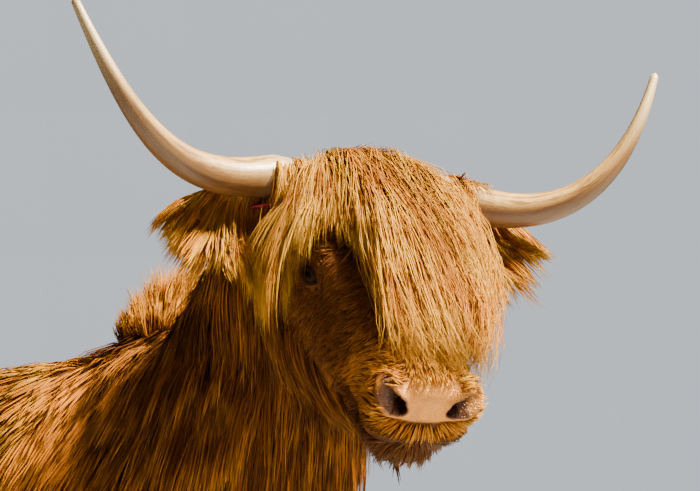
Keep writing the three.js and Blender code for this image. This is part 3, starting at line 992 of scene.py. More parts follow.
def rolled_out(centre, axis, start):
    """A way to lay the skin flat: the angle round an axis, and the place along it."""
    centre, axis, start = np.array(centre), unit(np.array(axis, float)), np.array(start, float)
    start = unit(start - axis * (start @ axis))
    side = np.cross(axis, start)

    def lay(points):
        reach = points - centre
        return np.stack([np.arctan2(reach @ side, reach @ start), reach @ axis], 1)

    return lay


def hair_look(name, root=0.45, tips=0.35, rough=0.46, patchy=0.15):
    """Hair: dark at the root and straw-coloured at the tip, with strands in each lock."""
    nodes = Nodes(name)
    patch = nodes.ramp(nodes.noise(nodes.object_place(), 17.0, 2.0), 0.3, 0.7, -patchy, patchy)
    tone = nodes.sums("ADD", nodes.attribute("tone"), patch)
    lock = nodes.add("ShaderNodeUVMap")
    lock.uv_map = "lock"
    apart = nodes.add("ShaderNodeSeparateXYZ", Vector=lock.outputs["UV"])
    across, along = apart.outputs[0], apart.outputs[1]
    strands = nodes.add(
        "ShaderNodeCombineXYZ",
        X=nodes.sums("MULTIPLY_ADD", across, 4.0, nodes.sums("MULTIPLY", tone, 91.0)),
        Y=nodes.sums("MULTIPLY", along, 1.1),
        Z=nodes.sums("MULTIPLY", tone, 37.0),
    ).outputs[0]
    stripe = nodes.noise(strands, 1.7, 2.0, 0.6)
    pale_streaks = nodes.sums("MULTIPLY", nodes.ramp(stripe, 0.55, 0.75, 0.0, 0.35),
                              nodes.ramp(tone, -0.4, 0.4, 0.2, 1.0))
    pale_tips = nodes.sums("MULTIPLY", nodes.ramp(along, 0.55, 1.0, 0.0, tips),
                           nodes.ramp(tone, -0.4, 0.4, 0.15, 1.0))
    own = markings(nodes)
    for share, colour in (
        (nodes.ramp(tone, 0.45, 1.0, 0.0, 0.8), STRAW),
        (nodes.ramp(tone, -0.6, 0.35, 1.0, 0.0), DEEP_GINGER),
        (nodes.ramp(stripe, 0.35, 0.7, 0.55, 0.0), DEEP_GINGER),
        (pale_streaks, STRAW),
        (pale_tips, STRAW),
        (nodes.ramp(along, 0.0, 0.45, root, 0.0), (0.10, 0.026, 0.006)),
    ):
        own = nodes.mix(share, own, colour)
    nodes.set(
        nodes.shader,
        Base_Color=own,
        Roughness=rough,
        Specular_IOR_Level=0.2,
        Specular_Tint=(1.0, 0.62, 0.28, 1.0),
    )
    nodes.bump(stripe, 0.0012, 0.7)
    return nodes.material


short_look = hair_look("short_hair", root=0.5, tips=0.45, rough=0.5)
long_look = hair_look("long_hair")
muzzle_middle = np.array([0.0, -0.470, -0.055])


def columns(sideways, along, up):
    """Directions from their three parts, some of them the same for all."""
    return np.stack(np.broadcast_arrays(sideways, along, up), 1)


def from_eyes(place):
    """How far points of the head are from the middle of the nearer eye."""
    return np.linalg.norm(folded_over(place) - EYE_PLACE, axis=1)


def face_lie(points, out):
    """Towards the muzzle on the bridge, down and back on the cheeks, away from the nose pad."""
    place = in_head(points)
    flank = eased(np.abs(place[:, 0]), 0.035, 0.070)[:, None]
    bridge = columns(0.3 * place[:, 0] / 0.08, -1.0, 0.0)
    side = columns(np.sign(place[:, 0]) * 0.2, 0.05, -1.0)
    flow = bridge * (1 - flank) + side * flank
    away = unit(place - muzzle_middle)
    near_pad = eased(-place[:, 1], 0.385, 0.45) * eased(np.abs(place[:, 0]), 0.02, 0.05)
    near_lip = eased(-place[:, 2], 0.075, 0.09) * eased(-place[:, 1], 0.36, 0.42)
    near_pad = np.maximum(near_pad, near_lip)
    flow = flow + near_pad[:, None] * (1.8 * away - flow)
    near_eye = eased(from_eyes(place), 0.046, 0.026)[:, None]
    from_eye = (folded_over(place) - EYE_PLACE) * mirror_at(place)
    flow = flow + near_eye * (0.8 * unit(from_eye) + np.array([0, 0.3, -0.3]) - flow)
    return flow @ head_axes.T


def short_hair_share(place):
    """How much of the hair is short at points of the head, in the head's frame."""
    behind_eye = eased(place[:, 1], -0.170, -0.120)
    below = eased(-place[:, 2], 0.120, 0.165) * eased(place[:, 1], -0.43, -0.36)
    return (1 - behind_eye) * (1 - below)


draws = np.random.default_rng(21)
on_head = np.isin(middle_parts, HEAD_PARTS) * (head_middles[:, 1] < FACE_START)
under_lock = eased(np.abs(head_middles[:, 0]), 0.07, 0.04)
under_lock *= eased(head_middles[:, 1], -0.39, -0.34)
under_lock *= eased(head_middles[:, 2], -0.09, -0.05) * eased(head_middles[:, 0], -0.015, 0.010)
covered = on_head * (1 - middle_bare) ** 2 * (middle_bare < 0.6)
covered = covered * (beyond_lids(head_middles) > 0.0052)
short_share = covered * short_hair_share(head_middles) * (1 - 0.75 * under_lock)
closer = 1 + 1.2 * eased(-head_middles[:, 1], 0.34, 0.42)
finest = 1 + 1.5 * np.exp(-np.abs(beyond_lids(head_middles)) / 0.01)
guide_roots, guide_normals = rooted(short_share * closer, 1800, draws)
place = in_head(guide_roots)
on_bridge = eased(np.abs(place[:, 0]), 0.05, 0.02)
hair_length = 0.017 + 0.010 * on_bridge * eased(-place[:, 1], 0.30, 0.38)
hair_length += 0.007 * eased(-place[:, 2], 0.07, 0.11)
hair_length *= 0.45 + 0.55 * eased(from_eyes(place), 0.024, 0.050)
over_mouth = place[:, 2] + MOUTH_BELOW
near_mouth = eased(over_mouth, -0.002, 0.002) * eased(over_mouth, 0.024, 0.008)
hair_length *= 1 - 0.78 * near_mouth * eased(-place[:, 1], 0.34, 0.38)
hair_length *= draws.uniform(0.8, 1.25, len(place))
paths = combed(guide_roots, guide_normals, hair_length, face_lie, 0.0022, 0.55, 0.5, 0.05, 5)
roots, normals = rooted(short_share * closer * finest, 8900, draws)
head_roll = rolled_out(poll, -head_axes[:, 1], -head_axes[:, 2])
place = in_head(roots)
# The fur on the muzzle above the mouth is paler. Below the mouth, on the chin and over the right
# half of the face it is darker: painted shade.
pale_fur_and_shade = 0.95 * eased(-place[:, 1], 0.34, 0.44) * eased(place[:, 2], -0.104, -0.072)
pale_fur_and_shade -= 0.45 * eased(-place[:, 2], 0.078, 0.100) * eased(-place[:, 1], 0.36, 0.42)
pale_fur_and_shade -= 0.25 * eased(place[:, 0], 0.0, -0.035)
coat("face_coat", short_look, paths, roots, normals, 0.0021, 3, head_roll, 22,
     gather=0.35, wave=0.03, tones=(pale_fur_and_shade - 0.50, pale_fur_and_shade + 0.20))

# ---- Long hair of the cheeks, jaw and nape ----
# Behind the eyes and under the jaw the hair grows long. It leaves the skin level and hangs
# straight down in loose locks, combed back beside the eye, which stays open.


def hanging_lie(points, out):
    """Straight down, and a little away from the skin."""
    return DOWN + 0.5 * out * np.array([1, 1, 0])


draws = np.random.default_rng(31)
long_share = covered * (1 - short_hair_share(head_middles))
behind = np.isin(middle_parts, HEAD_PARTS) * (head_middles[:, 1] >= FACE_START)
behind = behind * (eased(-head_middles[:, 2], 0.02, 0.05) + eased(head_middles[:, 1], 0.02, 0.05))
long_share = np.maximum(long_share, np.minimum(behind, 1))


def cheek_lie(points, out):
    """Back and down beside the eye, and straight down elsewhere."""
    place = in_head(points)
    beside = eased(from_eyes(place), 0.120, 0.060)[:, None]
    back = columns(0.3 * np.sign(place[:, 0]), 0.75, -1.0)
    return hanging_lie(points, out) * (1 - beside) + beside * (back @ head_axes.T)


guide_roots, guide_normals = rooted(long_share, 620, draws)
place = in_head(guide_roots)
hair_length = 0.075 + 0.075 * eased(place[:, 1], -0.36, -0.20)
hair_length -= 0.014 * eased(-place[:, 1], 0.38, 0.46)
hair_length *= draws.uniform(0.75, 1.2, len(place))
layer_height = draws.uniform(0.001, 0.016, len(place))
paths = combed(guide_roots, guide_normals, hair_length, cheek_lie, layer_height, 0.3, 0.5, 0.22)


def open_eye(lines, draws):
    places = in_head(lines.reshape(-1, 3))
    from_eye = (folded_over(places) - EYE_PLACE).reshape(lines.shape)
    return np.linalg.norm(from_eye / np.array([1.6, 1.0, 1.0]), axis=2) < 0.034


roots, normals = rooted(long_share, 5300, draws)
# Low tones: the long hair of the cheeks, jaw and nape is darkened with painted shade.
coat("cheek_hair", long_look, paths, roots, normals, 0.0034, 4, head_roll, 32,
     gather=0.55, wave=0.018, tones=(-0.9, 0.05), left_open=open_eye)

# ---- Forelock ----
# The dossan: long fine locks that spring from the poll, part over the brow and fall over the
# eyes and down the nose, in layers as thick as the forelock solid.
lock_points, lock_triangles = shell_of("forelock")
lock_tree = BVHTree.FromPolygons(lock_points.tolist(), lock_triangles.tolist())
PARTING = -0.030
RAY, THIN = 0.22, 0.012


def thickness_over(near, out):
    """How thick the forelock is over places on the skin, and thin where there is none."""
    thick = np.full(len(near), THIN)
    starts = near + out * RAY
    for i, (start, way) in enumerate(zip(starts.tolist(), (-out).tolist())):
        hit = lock_tree.ray_cast(start, way, RAY - 0.002)
        if hit[0] is not None:
            thick[i] = max(RAY - hit[3], 0.003)
    return thick


def outside_lock(points):
    """How far points lie outside the forelock solid, and the way back to it."""
    far, way = np.zeros(len(points)), np.zeros_like(points)
    for i, point in enumerate(points.tolist()):
        near, out = lock_tree.find_nearest(point)[:2]
        off = Vector(point) - near
        if off.dot(out) > 0:
            far[i] = off.length
            way[i] = -off
    return far, way


def kept_in_lock(points):
    """Hairs that stray far out of the forelock are drawn back, but not beside the right eye."""
    far, way = outside_lock(points)
    place = in_head(points)
    way[(place[:, 0] < -0.085) & (place[:, 1] < -0.10)] = 0
    return points + way * (0.8 * np.maximum(far - 0.010, 0) / np.maximum(far, 1e-6))[:, None]


forelock_look = hair_look("forelock_hair", root=0.08, tips=0.30, patchy=0.22)
draws = np.random.default_rng(41)
crown = (head_middles / np.array([0.104, 0.110, 1.0]))[:, :2] - np.array([0, -0.10])
crown = eased((crown**2).sum(1), 1.15, 0.75) * (head_middles[:, 2] > -0.08)
crown *= np.isin(middle_parts, ("head", "neck"))
guide_roots, guide_normals = rooted(crown, 700, draws)
place = in_head(guide_roots)
stray = draws.normal(0, 0.35, len(place))
swing_start = 2.2 * np.sin(place[:, 0] * 70) + 2.0 * np.sin(place[:, 1] * 55 + 1)


def forelock_lie(points, out):
    """Forward over the brow, fanned out to both sides of the parting."""
    place = in_head(points)
    aside = place[:, 0] - PARTING
    spread = np.sign(aside) * np.maximum(np.abs(aside) - 0.015, 0) / 0.065
    spread = np.clip(spread + 0.6 * stray * eased(np.abs(aside), 0, 0.03), -1.3, 1.3)
    early = eased(-place[:, 1], 0.20, 0.06)
    top = eased(-place[:, 1], 0.09, 0.02)
    across = spread * (0.1 + 0.9 * early + 1.2 * top)
    across += 0.42 * eased(-place[:, 1], 0.05, 0.14) * np.sin(place[:, 1] * 42 + swing_start)
    flow = columns(across, -1.0, 0.0)
    aside = eased(np.abs(place[:, 0]), 0.095, 0.140)[:, None]
    over_top = 0.8 * eased(out[:, 2:], 0.1, 0.6) * EAR_FRONT
    return (flow * (1 - aside) + (1.4 * HANGING + over_top) * aside) @ head_axes.T


hair_length = 0.43 + 0.05 * draws.normal(0, 1, len(place))
hair_length *= 1 - 0.1 * eased(place[:, 1], -0.02, 0.06)
depth_share = draws.uniform(0.12, 1.0, len(place)) ** 0.7


def layer_heights(near, out):
    return thickness_over(near, out) * depth_share - 0.002


paths = combed(guide_roots, guide_normals, hair_length, forelock_lie, layer_heights,
               0.9, 0.35, 0.30, 16, kept_in_lock, horn_tree)


def open_brow(lines, draws):
    """The hair over the right eye is parted and ends above it, with the eye left open."""
    place = in_head(lines.reshape(-1, 3)).reshape(lines.shape)
    brow_end = draws.normal(-0.166, 0.014, len(lines))[:, None]
    brow_end = brow_end - 0.020 * eased(-place[:, :, 0], 0.105, 0.125)
    side_end = draws.normal(-0.066, 0.007, len(lines))[:, None]
    side_end = side_end + 0.022 * eased(-place[:, :, 1], 0.19, 0.24)
    side_end = side_end - 0.022 * eased(-place[:, :, 1], 0.31, 0.38)
    drop = place @ HANGING
    lowest = draws.normal(0.158, 0.015, len(lines))[:, None]
    lowest = lowest + 0.100 * np.exp(-(((place[:, :, 0] + 0.162) / 0.008) ** 2))
    over_eye = (place[:, :, 0] < side_end) & (place[:, :, 1] < brow_end)
    beside_eye = (place[:, :, 0] < -0.125) & (drop > lowest)
    return np.where(place[:, :, 0] < -0.140, False, over_eye) | beside_eye


# The hair round the base of each horn grows on to the first part of the horn and hangs over it.
horn_surface = (np.array(horn_points), np.array(horn_faces))
horn_surface += (corner_normals(*horn_surface),)
along_horn = in_head(horn_surface[0][horn_surface[1]].mean(1))[:, 0]
reach = np.where(along_horn > 0, 0.165, 0.132)
collar = eased(np.abs(along_horn), reach + 0.012, reach - 0.012)
collar *= 1 + 2 * (horn_surface[2][horn_surface[1]].mean(1)[:, 2] > 0.3)


def away_from(middle, points):
    """Level directions, off to the side of the middle on which each point lies."""
    return np.sign(points[:, :1] - middle) * np.array([1.0, 0, 0])


def collar_lie(points, out):
    over_top = 1.4 * eased(out[:, 2:], 0.1, 0.6) * EAR_FRONT
    return (0.10 * away_from(0, in_head(points)) + HANGING + over_top) @ head_axes.T


COLLAR_GUIDES = 260
collar_roots, collar_normals = rooted(collar, COLLAR_GUIDES, draws, horn_surface)
hair_length = 0.095 * draws.uniform(0.5, 1.2, COLLAR_GUIDES)
layer_height = draws.uniform(0.002, 0.014, COLLAR_GUIDES)
collar_paths = combed(collar_roots, collar_normals, hair_length, collar_lie, layer_height,
                      0.4, 0.5, 0.25, 16, None, horn_tree)
paths = np.concatenate([paths, collar_paths])
TUFTS_PER_HALF = 5800
for half, seed in (("right", 42), ("left", 43)):
    roots, normals = rooted(crown, 13000, draws)
    more_roots, more_normals = rooted(collar, 2400, draws, horn_surface)
    roots = np.concatenate([more_roots, roots])
    normals = np.concatenate([more_normals, normals])
    place = in_head(roots)
    mine = np.flatnonzero((place[:, 0] < 0) == (half == "right"))[:TUFTS_PER_HALF]
    bands = 0.42 * np.sin(130 * place[mine, 0] + 40 * place[mine, 1])
    bands += 0.16 * np.sin(60 * place[mine, 0] - 90 * place[mine, 1])
    coat("forelock_" + half, forelock_look, paths, roots[mine], normals[mine],
         0.0016, 6, head_roll, seed, gather=0.55, wave=0.036, tones=(0.20 + bands, 1.30 + bands),
         replaced=("forelock",), left_open=open_brow)

# ---- Ear fringes ----
# Thick long hair on both faces of each ear. It points outwards at the tip and hangs as a fringe
# from the rest of the leaf.


def ear_lie(points, out):
    place = in_head(points)
    outward = eased(np.abs(place[:, 0]), 0.150, 0.275)[:, None]
    flow = away_from(0, place) * (0.08 + 0.85 * outward) + HANGING * (1 - 0.3 * outward)
    return flow @ head_axes.T


for side_name, side, seed in (("right", -1, 51), ("left", 1, 52)):
    draws = np.random.default_rng(seed)
    share = (middle_parts == "ear") * (np.sign(head_middles[:, 0]) == side)
    share = share * (0.5 + eased(np.abs(head_middles[:, 0]), 0.08, 0.14))
    guide_roots, guide_normals = rooted(share, 230, draws)
    place = in_head(guide_roots)
    hair_length = 0.120 - 0.045 * eased(np.abs(place[:, 0]), 0.20, 0.275)
    hair_length *= 1 - 0.45 * eased(np.abs(place[:, 0]), 0.160, 0.125)
    hair_length *= draws.uniform(0.75, 1.2, len(place))
    layer_height = draws.uniform(0.001, 0.020, len(place))
    paths = combed(guide_roots, guide_normals, hair_length, ear_lie, layer_height, 0.35, 0.35, 0.28)
    roots, normals = rooted(share, 3000, draws)
    # Painted shade: each fringe is darker near the head, where the horn and the head shade it.
    shade_near_head = 0.75 * eased(np.abs(in_head(roots)[:, 0]), 0.170, 0.130) - 0.15
    middle = from_head(np.array([side * 0.17, EAR_BEHIND, EAR_BELOW]))
    roll = rolled_out(middle, side * head_axes[:, 0], head_axes @ EAR_FRONT)
    coat("ear_hair_" + side_name, forelock_look, paths, roots, normals, 0.0026, 4, roll,
         seed + 2, gather=0.5, wave=0.02, tones=(0.1 - shade_near_head, 1.0 - shade_near_head))

# ---- Neck ----
# The longest and smoothest hair. It is rooted all over the neck, parts along the crest, and hangs
# down both sides in flat layers.
trunk_low, trunk_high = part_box("trunk")
BODY_MIDDLE = (trunk_low.x + trunk_high.x) / 2


def spine(y):
    """Where the middle of the body is, sideways."""
    return np.interp(y, [-0.76, -0.46], [-0.008, BODY_MIDDLE])


def neck_lie(points, out):
    away = away_from(spine(points[:, 1:2]), points)
    return DOWN + np.array([0, 0.22, 0]) + 0.9 * away * eased(out[:, 2:], 0.1, 0.8)


nearer_left = middles[:, 0] > spine(middles[:, 1])
neck_roll = rolled_out((0.05, -0.5, 1.0), (-0.25, -0.75, 0.6), (0, 0, -1))
for side_name, seed, count in (("right", 61, 4300), ("left", 62, 3400)):
    draws = np.random.default_rng(seed)
    share = (middle_parts == "neck") * (nearer_left == (side_name == "left"))
    guide_roots, guide_normals = rooted(share, 330, draws)
    hair_length = 0.175 * draws.uniform(0.7, 1.15, len(guide_roots))
    layer_height = draws.uniform(0.001, 0.032, len(guide_roots))
    paths = combed(guide_roots, guide_normals, hair_length, neck_lie, layer_height, 0.3, 0.6, 0.18)
    roots, normals = rooted(share, count, draws)
    # Low tones: the neck hair is darkened with painted shade, the shadow of the head.
    coat("neck_hair_" + side_name, long_look, paths, roots, normals, 0.0046, 4,
         neck_roll, seed + 2, gather=0.5, wave=0.014, tones=(-0.9, 0.10))

# ---- Crest ----
# A fluffy tuft of curled hair that stands up over the withers, rooted in the skin of neck and
# back. Its locks fan out from one place below, and get shorter towards the rim.
TUFT_MIDDLE = np.array([0.066, -0.312])
TUFT_SIZE = np.array([0.056, 0.078])


def from_tuft(points):
    """0 in the middle of the tuft, 1 at its rim; it runs on further up the neck."""
    apart = (points[:, :2] - TUFT_MIDDLE) / TUFT_SIZE
    apart[:, 1] /= np.where(apart[:, 1] < 0, 1.8, 1.0)
    return (apart**2).sum(1)


draws = np.random.default_rng(71)
share = eased(from_tuft(middles), 1.1, 0.8) * (middles[:, 2] > 1.0)
share *= np.isin(middle_parts, ("trunk", "neck"))
guide_roots, guide_normals = rooted(share, 420, draws)
hair_length = 0.110 - 0.056 * from_tuft(guide_roots).clip(0, 1)
hair_length *= draws.uniform(0.9, 1.1, len(guide_roots))
outwards = unit(guide_roots - np.append(TUFT_MIDDLE, 0.960))
outwards = unit(outwards + 0.14 * draws.normal(0, 1, guide_roots.shape))
sideways = unit(np.cross(outwards, draws.normal(0, 1, guide_roots.shape)))
run = np.linspace(0, 1, 9)
curl = 0.10 * (1 - np.cos(run * draws.uniform(3, 6, len(guide_roots))[:, None]))
paths = outwards[:, None] * run[:, None] + sideways[:, None] * curl[:, :, None]
paths = guide_roots[:, None] + paths * hair_length[:, None, None]
roots, normals = rooted(share, 4700, draws)
back_roll = rolled_out((BODY_MIDDLE, 0, 0.85), (0, 1, 0), (0, 0, 1))
curled_look = hair_look("curled_hair", root=0.35, tips=0.3)
coat("crest_hair", curled_look, paths, roots, normals, 0.0034, 4, back_roll, 72,
     gather=0.0, wave=0.10, tones=(-0.1, 0.6))

# ---- Body ----
# Long straight hair combed back and down over the ribs, straight down over the shoulders, and
# hanging under the belly and the chest.


def body_lie(points, out):
    shoulder = eased(-points[:, 1], 0.0, 0.25)[:, None]
    rump = eased(points[:, 1], 0.75, 0.95)[:, None]
    away = away_from(BODY_MIDDLE, points)
    ribs = np.array([0, 0.85, -0.8])
    flow = ribs + shoulder * (np.array([0, 0.25, -1.0]) - ribs)
    flow = flow + rump * (np.array([0, 0.1, -1.0]) - flow)
    return flow + away * (0.15 + 0.5 * eased(out[:, 2:], 0.5, 0.95))


left_half = middles[:, 0] > BODY_MIDDLE
hide_faces = skin_normals[skin_triangles].mean(1)
hanging_share = (middle_parts == "trunk") * eased(-hide_faces[:, 2], 0.25, 0.65)
hanging_share *= eased(-middles[:, 2], -0.75, -0.60)
for side_name, seed, count in (("right", 81, 7800), ("left", 82, 5400)):
    draws = np.random.default_rng(seed)
    share = (middle_parts == "trunk") * (left_half == (side_name == "left"))
    share = share * (1 - hanging_share) * (1 + 1.4 * eased(-middles[:, 1], -0.35, -0.05))
    guide_roots, guide_normals = rooted(share, 520, draws)
    hair_length = 0.085 + 0.070 * eased(guide_normals[:, 2], 0.85, 0.3)
    hair_length *= draws.uniform(0.75, 1.2, len(guide_roots))
    layer_height = draws.uniform(0.001, 0.022, len(guide_roots))
    paths = combed(guide_roots, guide_normals, hair_length, body_lie, layer_height, 0.15, 0.6, 0.10)
    roots, normals = rooted(share, count, draws)
    width = 0.0046 + 0.0026 * eased(roots[:, 1], 0.05, 0.40)
    # Painted shadow: the hair over the shoulders is darker, where the shadow of the head falls.
    shoulder = 0.8 * eased(-roots[:, 1], 0.10, 0.35)
    coat("body_hair_" + side_name, long_look, paths, roots, normals, width, 3, back_roll,
         seed + 2, gather=0.45, wave=0.014, tones=(0.25 - shoulder, 1.1 - shoulder))

draws = np.random.default_rng(85)
guide_roots, guide_normals = rooted(hanging_share, 260, draws)
hair_length = 0.125 + 0.030 * eased(-guide_roots[:, 1], 0.3, 0.45)
hair_length *= draws.uniform(0.7, 1.15, len(guide_roots))
paths = combed(guide_roots, guide_normals, hair_length, hanging_lie, 0.004, 0.4, 0.2, 0.35)
roots, normals = rooted(hanging_share, 2500, draws)
# Low tones: painted shade under the belly.
coat("belly_hair", long_look, paths, roots, normals, 0.0080, 3, back_roll, 86,
     gather=0.65, wave=0.02, tones=(-0.2, 0.6))

# ---- Legs ----
# Shorter hair down the legs, longer at the thighs and the back of each leg, with a fringe over
# the top of the hooves.


def leg_lie(points, out):
    return DOWN + 0.12 * out


for pair, seed, count in (("foreleg", 91, 3000), ("hindleg", 92, 4200)):
    draws = np.random.default_rng(seed)
    share = np.char.startswith(middle_parts, pair) | np.isin(middle_parts, ("claw", "dewclaw"))
    share = share & ((middles[:, 1] < 0.3) == (pair == "foreleg"))
    share = share * (1 + 0.6 * eased(-middles[:, 2], -0.30, -0.10)) * (middles[:, 2] > 0.050)
    guide_roots, guide_normals = rooted(share, 420, draws)
    height = guide_roots[:, 2]
    hair_length = 0.036 + 0.062 * eased(height, 0.18, 0.45)
    hair_length += 0.022 * (guide_normals[:, 1] > 0.2)
    hair_length *= draws.uniform(0.75, 1.2, len(guide_roots))
    hair_length = np.minimum(hair_length, np.maximum(height - 0.022, 0.02))
    layer_height = draws.uniform(0.001, 0.010, len(guide_roots))
    layer_height *= 1 + eased(height, 0.2, 0.5)
    paths = combed(guide_roots, guide_normals, hair_length, leg_lie, layer_height,
                   0.3, 0.6, 0.05, 6)
    roots, normals = rooted(share, count, draws)

    def leg_sheets(points):
        """Each leg rolled out on its own strip, left beside right."""
        leg = points[:, 0] > BODY_MIDDLE
        middle_x = np.where(leg, points[leg, 0].mean(), points[~leg, 0].mean())
        middle_y = np.where(leg, points[leg, 1].mean(), points[~leg, 1].mean())
        angle = np.arctan2(points[:, 1] - middle_y, points[:, 0] - middle_x) / 6.3
        return np.stack([leg + 0.94 * angle, points[:, 2]], 1)

    coat(pair + "_hair", long_look, paths, roots, normals,
         0.0050, 3, leg_sheets, seed + 2, gather=0.45, wave=0.02, tones=(0.05, 0.8))

# ---- Tail ----
# The dock is covered with short hair all round. From its lower end grows the switch, a brush of
# long hair that hangs to below the hocks and takes the place of the solid switch.
draws = np.random.default_rng(101)
switch_points, switch_triangles = shell_of("tail_switch")
switch_tree = BVHTree.FromPolygons(switch_points.tolist(), switch_triangles.tolist())


def kept_in_switch(points):
    """Hairs that stray out of the switch are drawn back into it, below its start."""
    kept = points.copy()
    for i, point in enumerate(points.tolist()):
        if point[2] > 0.60:
            continue
        near, out = switch_tree.find_nearest(point)[:2]
        off = Vector(point) - near
        if off.dot(out) > -0.002:
            kept[i] += 0.7 * np.array(-off - 0.006 * out)
    return kept


SWITCH_END = 0.215
tail_roll = rolled_out((BODY_MIDDLE, 1.03, 0.8), (0, 0, -1), (0, 1, 0))
dock = middle_parts == "tail_dock"
dock_end = dock * eased(-middles[:, 2], -0.86, -0.70)
for name, share, guides, count, rings, held, replaced, seed in (
    ("dock_hair", dock, 160, 900, 4, None, (), 102),
    ("tail_switch_hair", dock_end, 130, 1150, 8, kept_in_switch, ("tail_switch",), 103),
):
    guide_roots, guide_normals = rooted(share, guides, draws)
    if name == "dock_hair":
        hair_length = 0.10 * draws.uniform(0.6, 1.2, guides)
    else:
        hair_length = (guide_roots[:, 2] - SWITCH_END) * draws.uniform(0.55, 1.0, guides)
    layer_height = draws.uniform(0.001, 0.012, guides)
    paths = combed(guide_roots, guide_normals, hair_length, leg_lie, layer_height,
                   0.3, 0.2, 0.4, 12, held)
    roots, normals = rooted(share, count, draws)
    coat(name, long_look, paths, roots, normals, 0.0048, rings, tail_roll, seed,
         gather=0.4, wave=0.012, tones=(0.0, 0.8), replaced=replaced)

# ---- Eyes ----
# Dark glossy balls, as of glass in a mounted animal, with a wide level pupil and a slightly
# raised cornea. They sit in the sockets of the skin, behind the lids.
EYE_ROWS, EYE_COLUMNS = 56, 72
PUPIL_WIDE, PUPIL_TALL, CORNEA_HEIGHT = 0.0078, 0.0045, 0.0011
eye_look = Nodes("eye")
eye_look.set(
    eye_look.shader,
    Base_Color=eye_look.attribute("iris", "Color"),
    Roughness=0.15,
    Specular_IOR_Level=0.03,
)
for side_name, side in (("left", 1), ("right", -1)):
    mirror = np.array([side, 1, 1])
    look, level, up = EYE_LOOK * mirror, SLIT_LINE * mirror, SLIT_UP * mirror
    tilt = np.linspace(0, math.pi, EYE_ROWS)[:, None]
    turn = np.linspace(0, 2 * math.pi, EYE_COLUMNS, endpoint=False)[None]
    ahead = np.cos(tilt) + 0 * turn
    beside, above = np.sin(tilt) * np.cos(turn), np.sin(tilt) * np.sin(turn)
    radius = EYE_RADIUS - 0.0002 + CORNEA_HEIGHT * eased(tilt, 0.70, 0.45)
    ball = radius[:, :, None] * (
        ahead[:, :, None] * look + beside[:, :, None] * level + above[:, :, None] * up
    )
    ball = ball.reshape(-1, 3)
    faces = []
    for row in range(0, (EYE_ROWS - 1) * EYE_COLUMNS, EYE_COLUMNS):
        for column in range(EYE_COLUMNS):
            a, b = row + column, row + (column + 1) % EYE_COLUMNS
            faces += [(a, a + EYE_COLUMNS, b + EYE_COLUMNS), (a, b + EYE_COLUMNS, b)]
    faces = np.array(faces)
    mesh = new_mesh("eye_" + side_name, from_head(ball + EYE_PLACE * mirror),
                    faces if side > 0 else faces[:, ::-1])
    from_look = np.hypot(ball @ level, ball @ up)
    pupil = np.hypot((ball @ level) / PUPIL_WIDE, (ball @ up) / PUPIL_TALL)
    iris = np.tile([0.008, 0.004, 0.003, 1.0], (len(ball), 1))
    for share, shade in (
        (eased(from_look, 0.0142, 0.0128), (0.012, 0.006, 0.004)),
        (eased(from_look, 0.0124, 0.0100), (0.030, 0.012, 0.005)),
        (eased(pupil, 1.08, 0.92), (0.004, 0.004, 0.006)),
    ):
        iris[:, :3] += (share * (ball @ look > 0))[:, None] * (np.array(shade) - iris[:, :3])
    painted(mesh, "iris", iris)
    mesh.materials.append(eye_look.material)
    place_piece("eyeball_" + side_name, mesh, ("eye_" + side_name,))

# ---- Hooves ----
# Two dull dark claws of horn on each foot, ringed by their growth, and two small dewclaws behind
# the fetlock. They grow out of the foot, under the fringe of the leg hair.
HOOF_GRAIN = 0.0032
hoof_look = Nodes("hoof")
stretched = hoof_look.add("ShaderNodeMapping", Vector=hoof_look.object_place(),
                          Scale=(6.0, 6.0, 95.0))
bands = hoof_look.noise(stretched.outputs[0], 1.0, 3.0, 0.6)
banded = hoof_look.mix(hoof_look.ramp(bands, 0.35, 0.7, 0.0, 1.0), (0.030, 0.022, 0.017),
                       (0.10, 0.072, 0.050))
hoof_look.set(hoof_look.shader, Base_Color=banded, Roughness=0.5)
hoof_look.bump(bands, 0.0015, 0.6)
for name in HOOVES:
    mesh = remeshed("rough", *shell_of(name), HOOF_GRAIN)
    points = relaxed(corners_of(mesh), edges_of(mesh), 0.5, 8)
    points[:, 2] = np.maximum(points[:, 2], 0.0002)
    if "dew" not in name:
        points[:, 2] -= points[:, 2].min() * eased(points[:, 2], 0.05, 0.0)
    mesh.vertices.foreach_set("co", points.ravel())
    mesh.polygons.foreach_set("use_smooth", np.ones(len(mesh.polygons), bool))
    mesh.update()
    mesh.name = "hoof"
    mesh.materials.append(hoof_look.material)
    place_piece("hoof_" + name, mesh, (name,))

# ---- Ear tag ----
# A plain dark red plastic tag, an oval plate with rounded edges. A stud moulded on its back
# passes through the right ear and holds it.
tag_look = Nodes("tag")
tag_look.set(tag_look.shader, Base_Color=(0.34, 0.018, 0.040, 1), Roughness=0.35)
tag_work = bmesh.new()
PLATE, STUD = (0.018, 0.003, 0.0, 46 / 36), (0.004, 0.012, -0.006, 1.0)
for radius, depth, height, stretch in (PLATE, STUD):
    made = bmesh.ops.create_cone(
        tag_work, cap_ends=True, segments=48, radius1=radius, radius2=radius, depth=depth
    )
    for vert in made["verts"]:
        vert.co = (vert.co.x, vert.co.y * stretch, vert.co.z + height)
sharp = [edge for edge in tag_work.edges if edge.calc_face_angle(0) > 1]
bmesh.ops.bevel(tag_work, geom=sharp, offset=0.0008, segments=3, affect="EDGES")
tag_place = (
    Matrix.Translation(poll)
    @ Matrix(head_axes.tolist()).to_4x4()
    @ Matrix.Translation((-0.150, -0.060, -0.058))
    @ Matrix.Rotation(math.radians(-44), 4, "X")
    @ Matrix.Rotation(math.radians(-6), 4, "Y")
)
tag_work.transform(tag_place)
tag_mesh = bpy.data.meshes.new("ear_tag")
tag_work.to_mesh(tag_mesh)
tag_work.free()
tag_mesh.polygons.foreach_set("use_smooth", np.ones(len(tag_mesh.polygons), bool))
tag_mesh.materials.append(tag_look.material)
place_piece("tag", tag_mesh, ("ear_tag",))

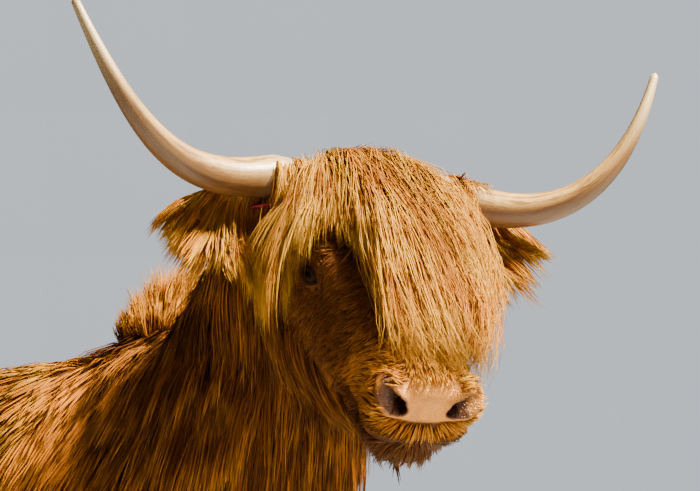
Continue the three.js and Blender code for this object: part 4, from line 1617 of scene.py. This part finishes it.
# ---- Floor, light and camera ----
# A plain pale disc to stand on, one warm lamp high before the animal and a faint light from all
# round. The camera stands at the height of its shoulder, before its right side.
FLOOR_RADIUS, FLOOR_CORNERS = 7.5, 96
turn = np.linspace(0, 2 * math.pi, FLOOR_CORNERS, endpoint=False)
rim_points = FLOOR_RADIUS * np.stack([np.cos(turn), np.sin(turn), 0 * turn], 1)
floor_mesh = new_mesh("floor", rim_points, [tuple(range(FLOOR_CORNERS))])
floor = put_in("floor", floor_mesh)
floor_look = Nodes("floor")
floor_look.set(floor_look.shader, Base_Color=(0.46, 0.47, 0.48, 1), Roughness=0.8)
floor_mesh.materials.append(floor_look.material)
world = bpy.data.worlds.new("studio")
bpy.context.scene.world = world
world.use_nodes = True
sky = world.node_tree.nodes["Background"].inputs
sky["Color"].default_value = (0.92, 0.95, 1.0, 1)
sky["Strength"].default_value = 0.06

light = bpy.data.lights.new("key", "AREA")
light.shape = "DISK"
light.size = 1.2
light.energy = 1750
light.color = (1, 0.89, 0.64)
lamp = put_in("key", light)
lamp.location = (0.8, -3.4, 4.6)
LIT_PLACE = Vector((0, -0.5, 1.0))
lamp.rotation_euler = (LIT_PLACE - lamp.location).to_track_quat("-Z", "Y").to_euler()

# A pale backdrop all round, far off. It is only seen, and adds nothing to the light.
bpy.ops.mesh.primitive_uv_sphere_add(segments=64, ring_count=32, radius=14)
backdrop = bpy.context.object
backdrop.name = "backdrop"
pale = Nodes("backdrop")
pale.set(pale.shader, Base_Color=(0, 0, 0, 1), Emission_Color=(0.80, 0.86, 0.93, 1),
         Emission_Strength=0.8)
backdrop.data.materials.append(pale.material)
for part in ("diffuse", "glossy", "transmission", "shadow"):
    setattr(backdrop, "visible_" + part, False)

CAMERA_PLACE = Vector((-2.136, -2.245, 0.985))
CAMERA_LOOK = Vector((0.81005, 0.57568, 0.11147))
camera_data = bpy.data.cameras.new("camera")
camera_data.lens = 90.9
camera_data.sensor_width = 36
camera = put_in("camera", camera_data)
camera.location = CAMERA_PLACE
camera.rotation_euler = CAMERA_LOOK.to_track_quat("-Z", "Y").to_euler()
bpy.context.scene.camera = camera
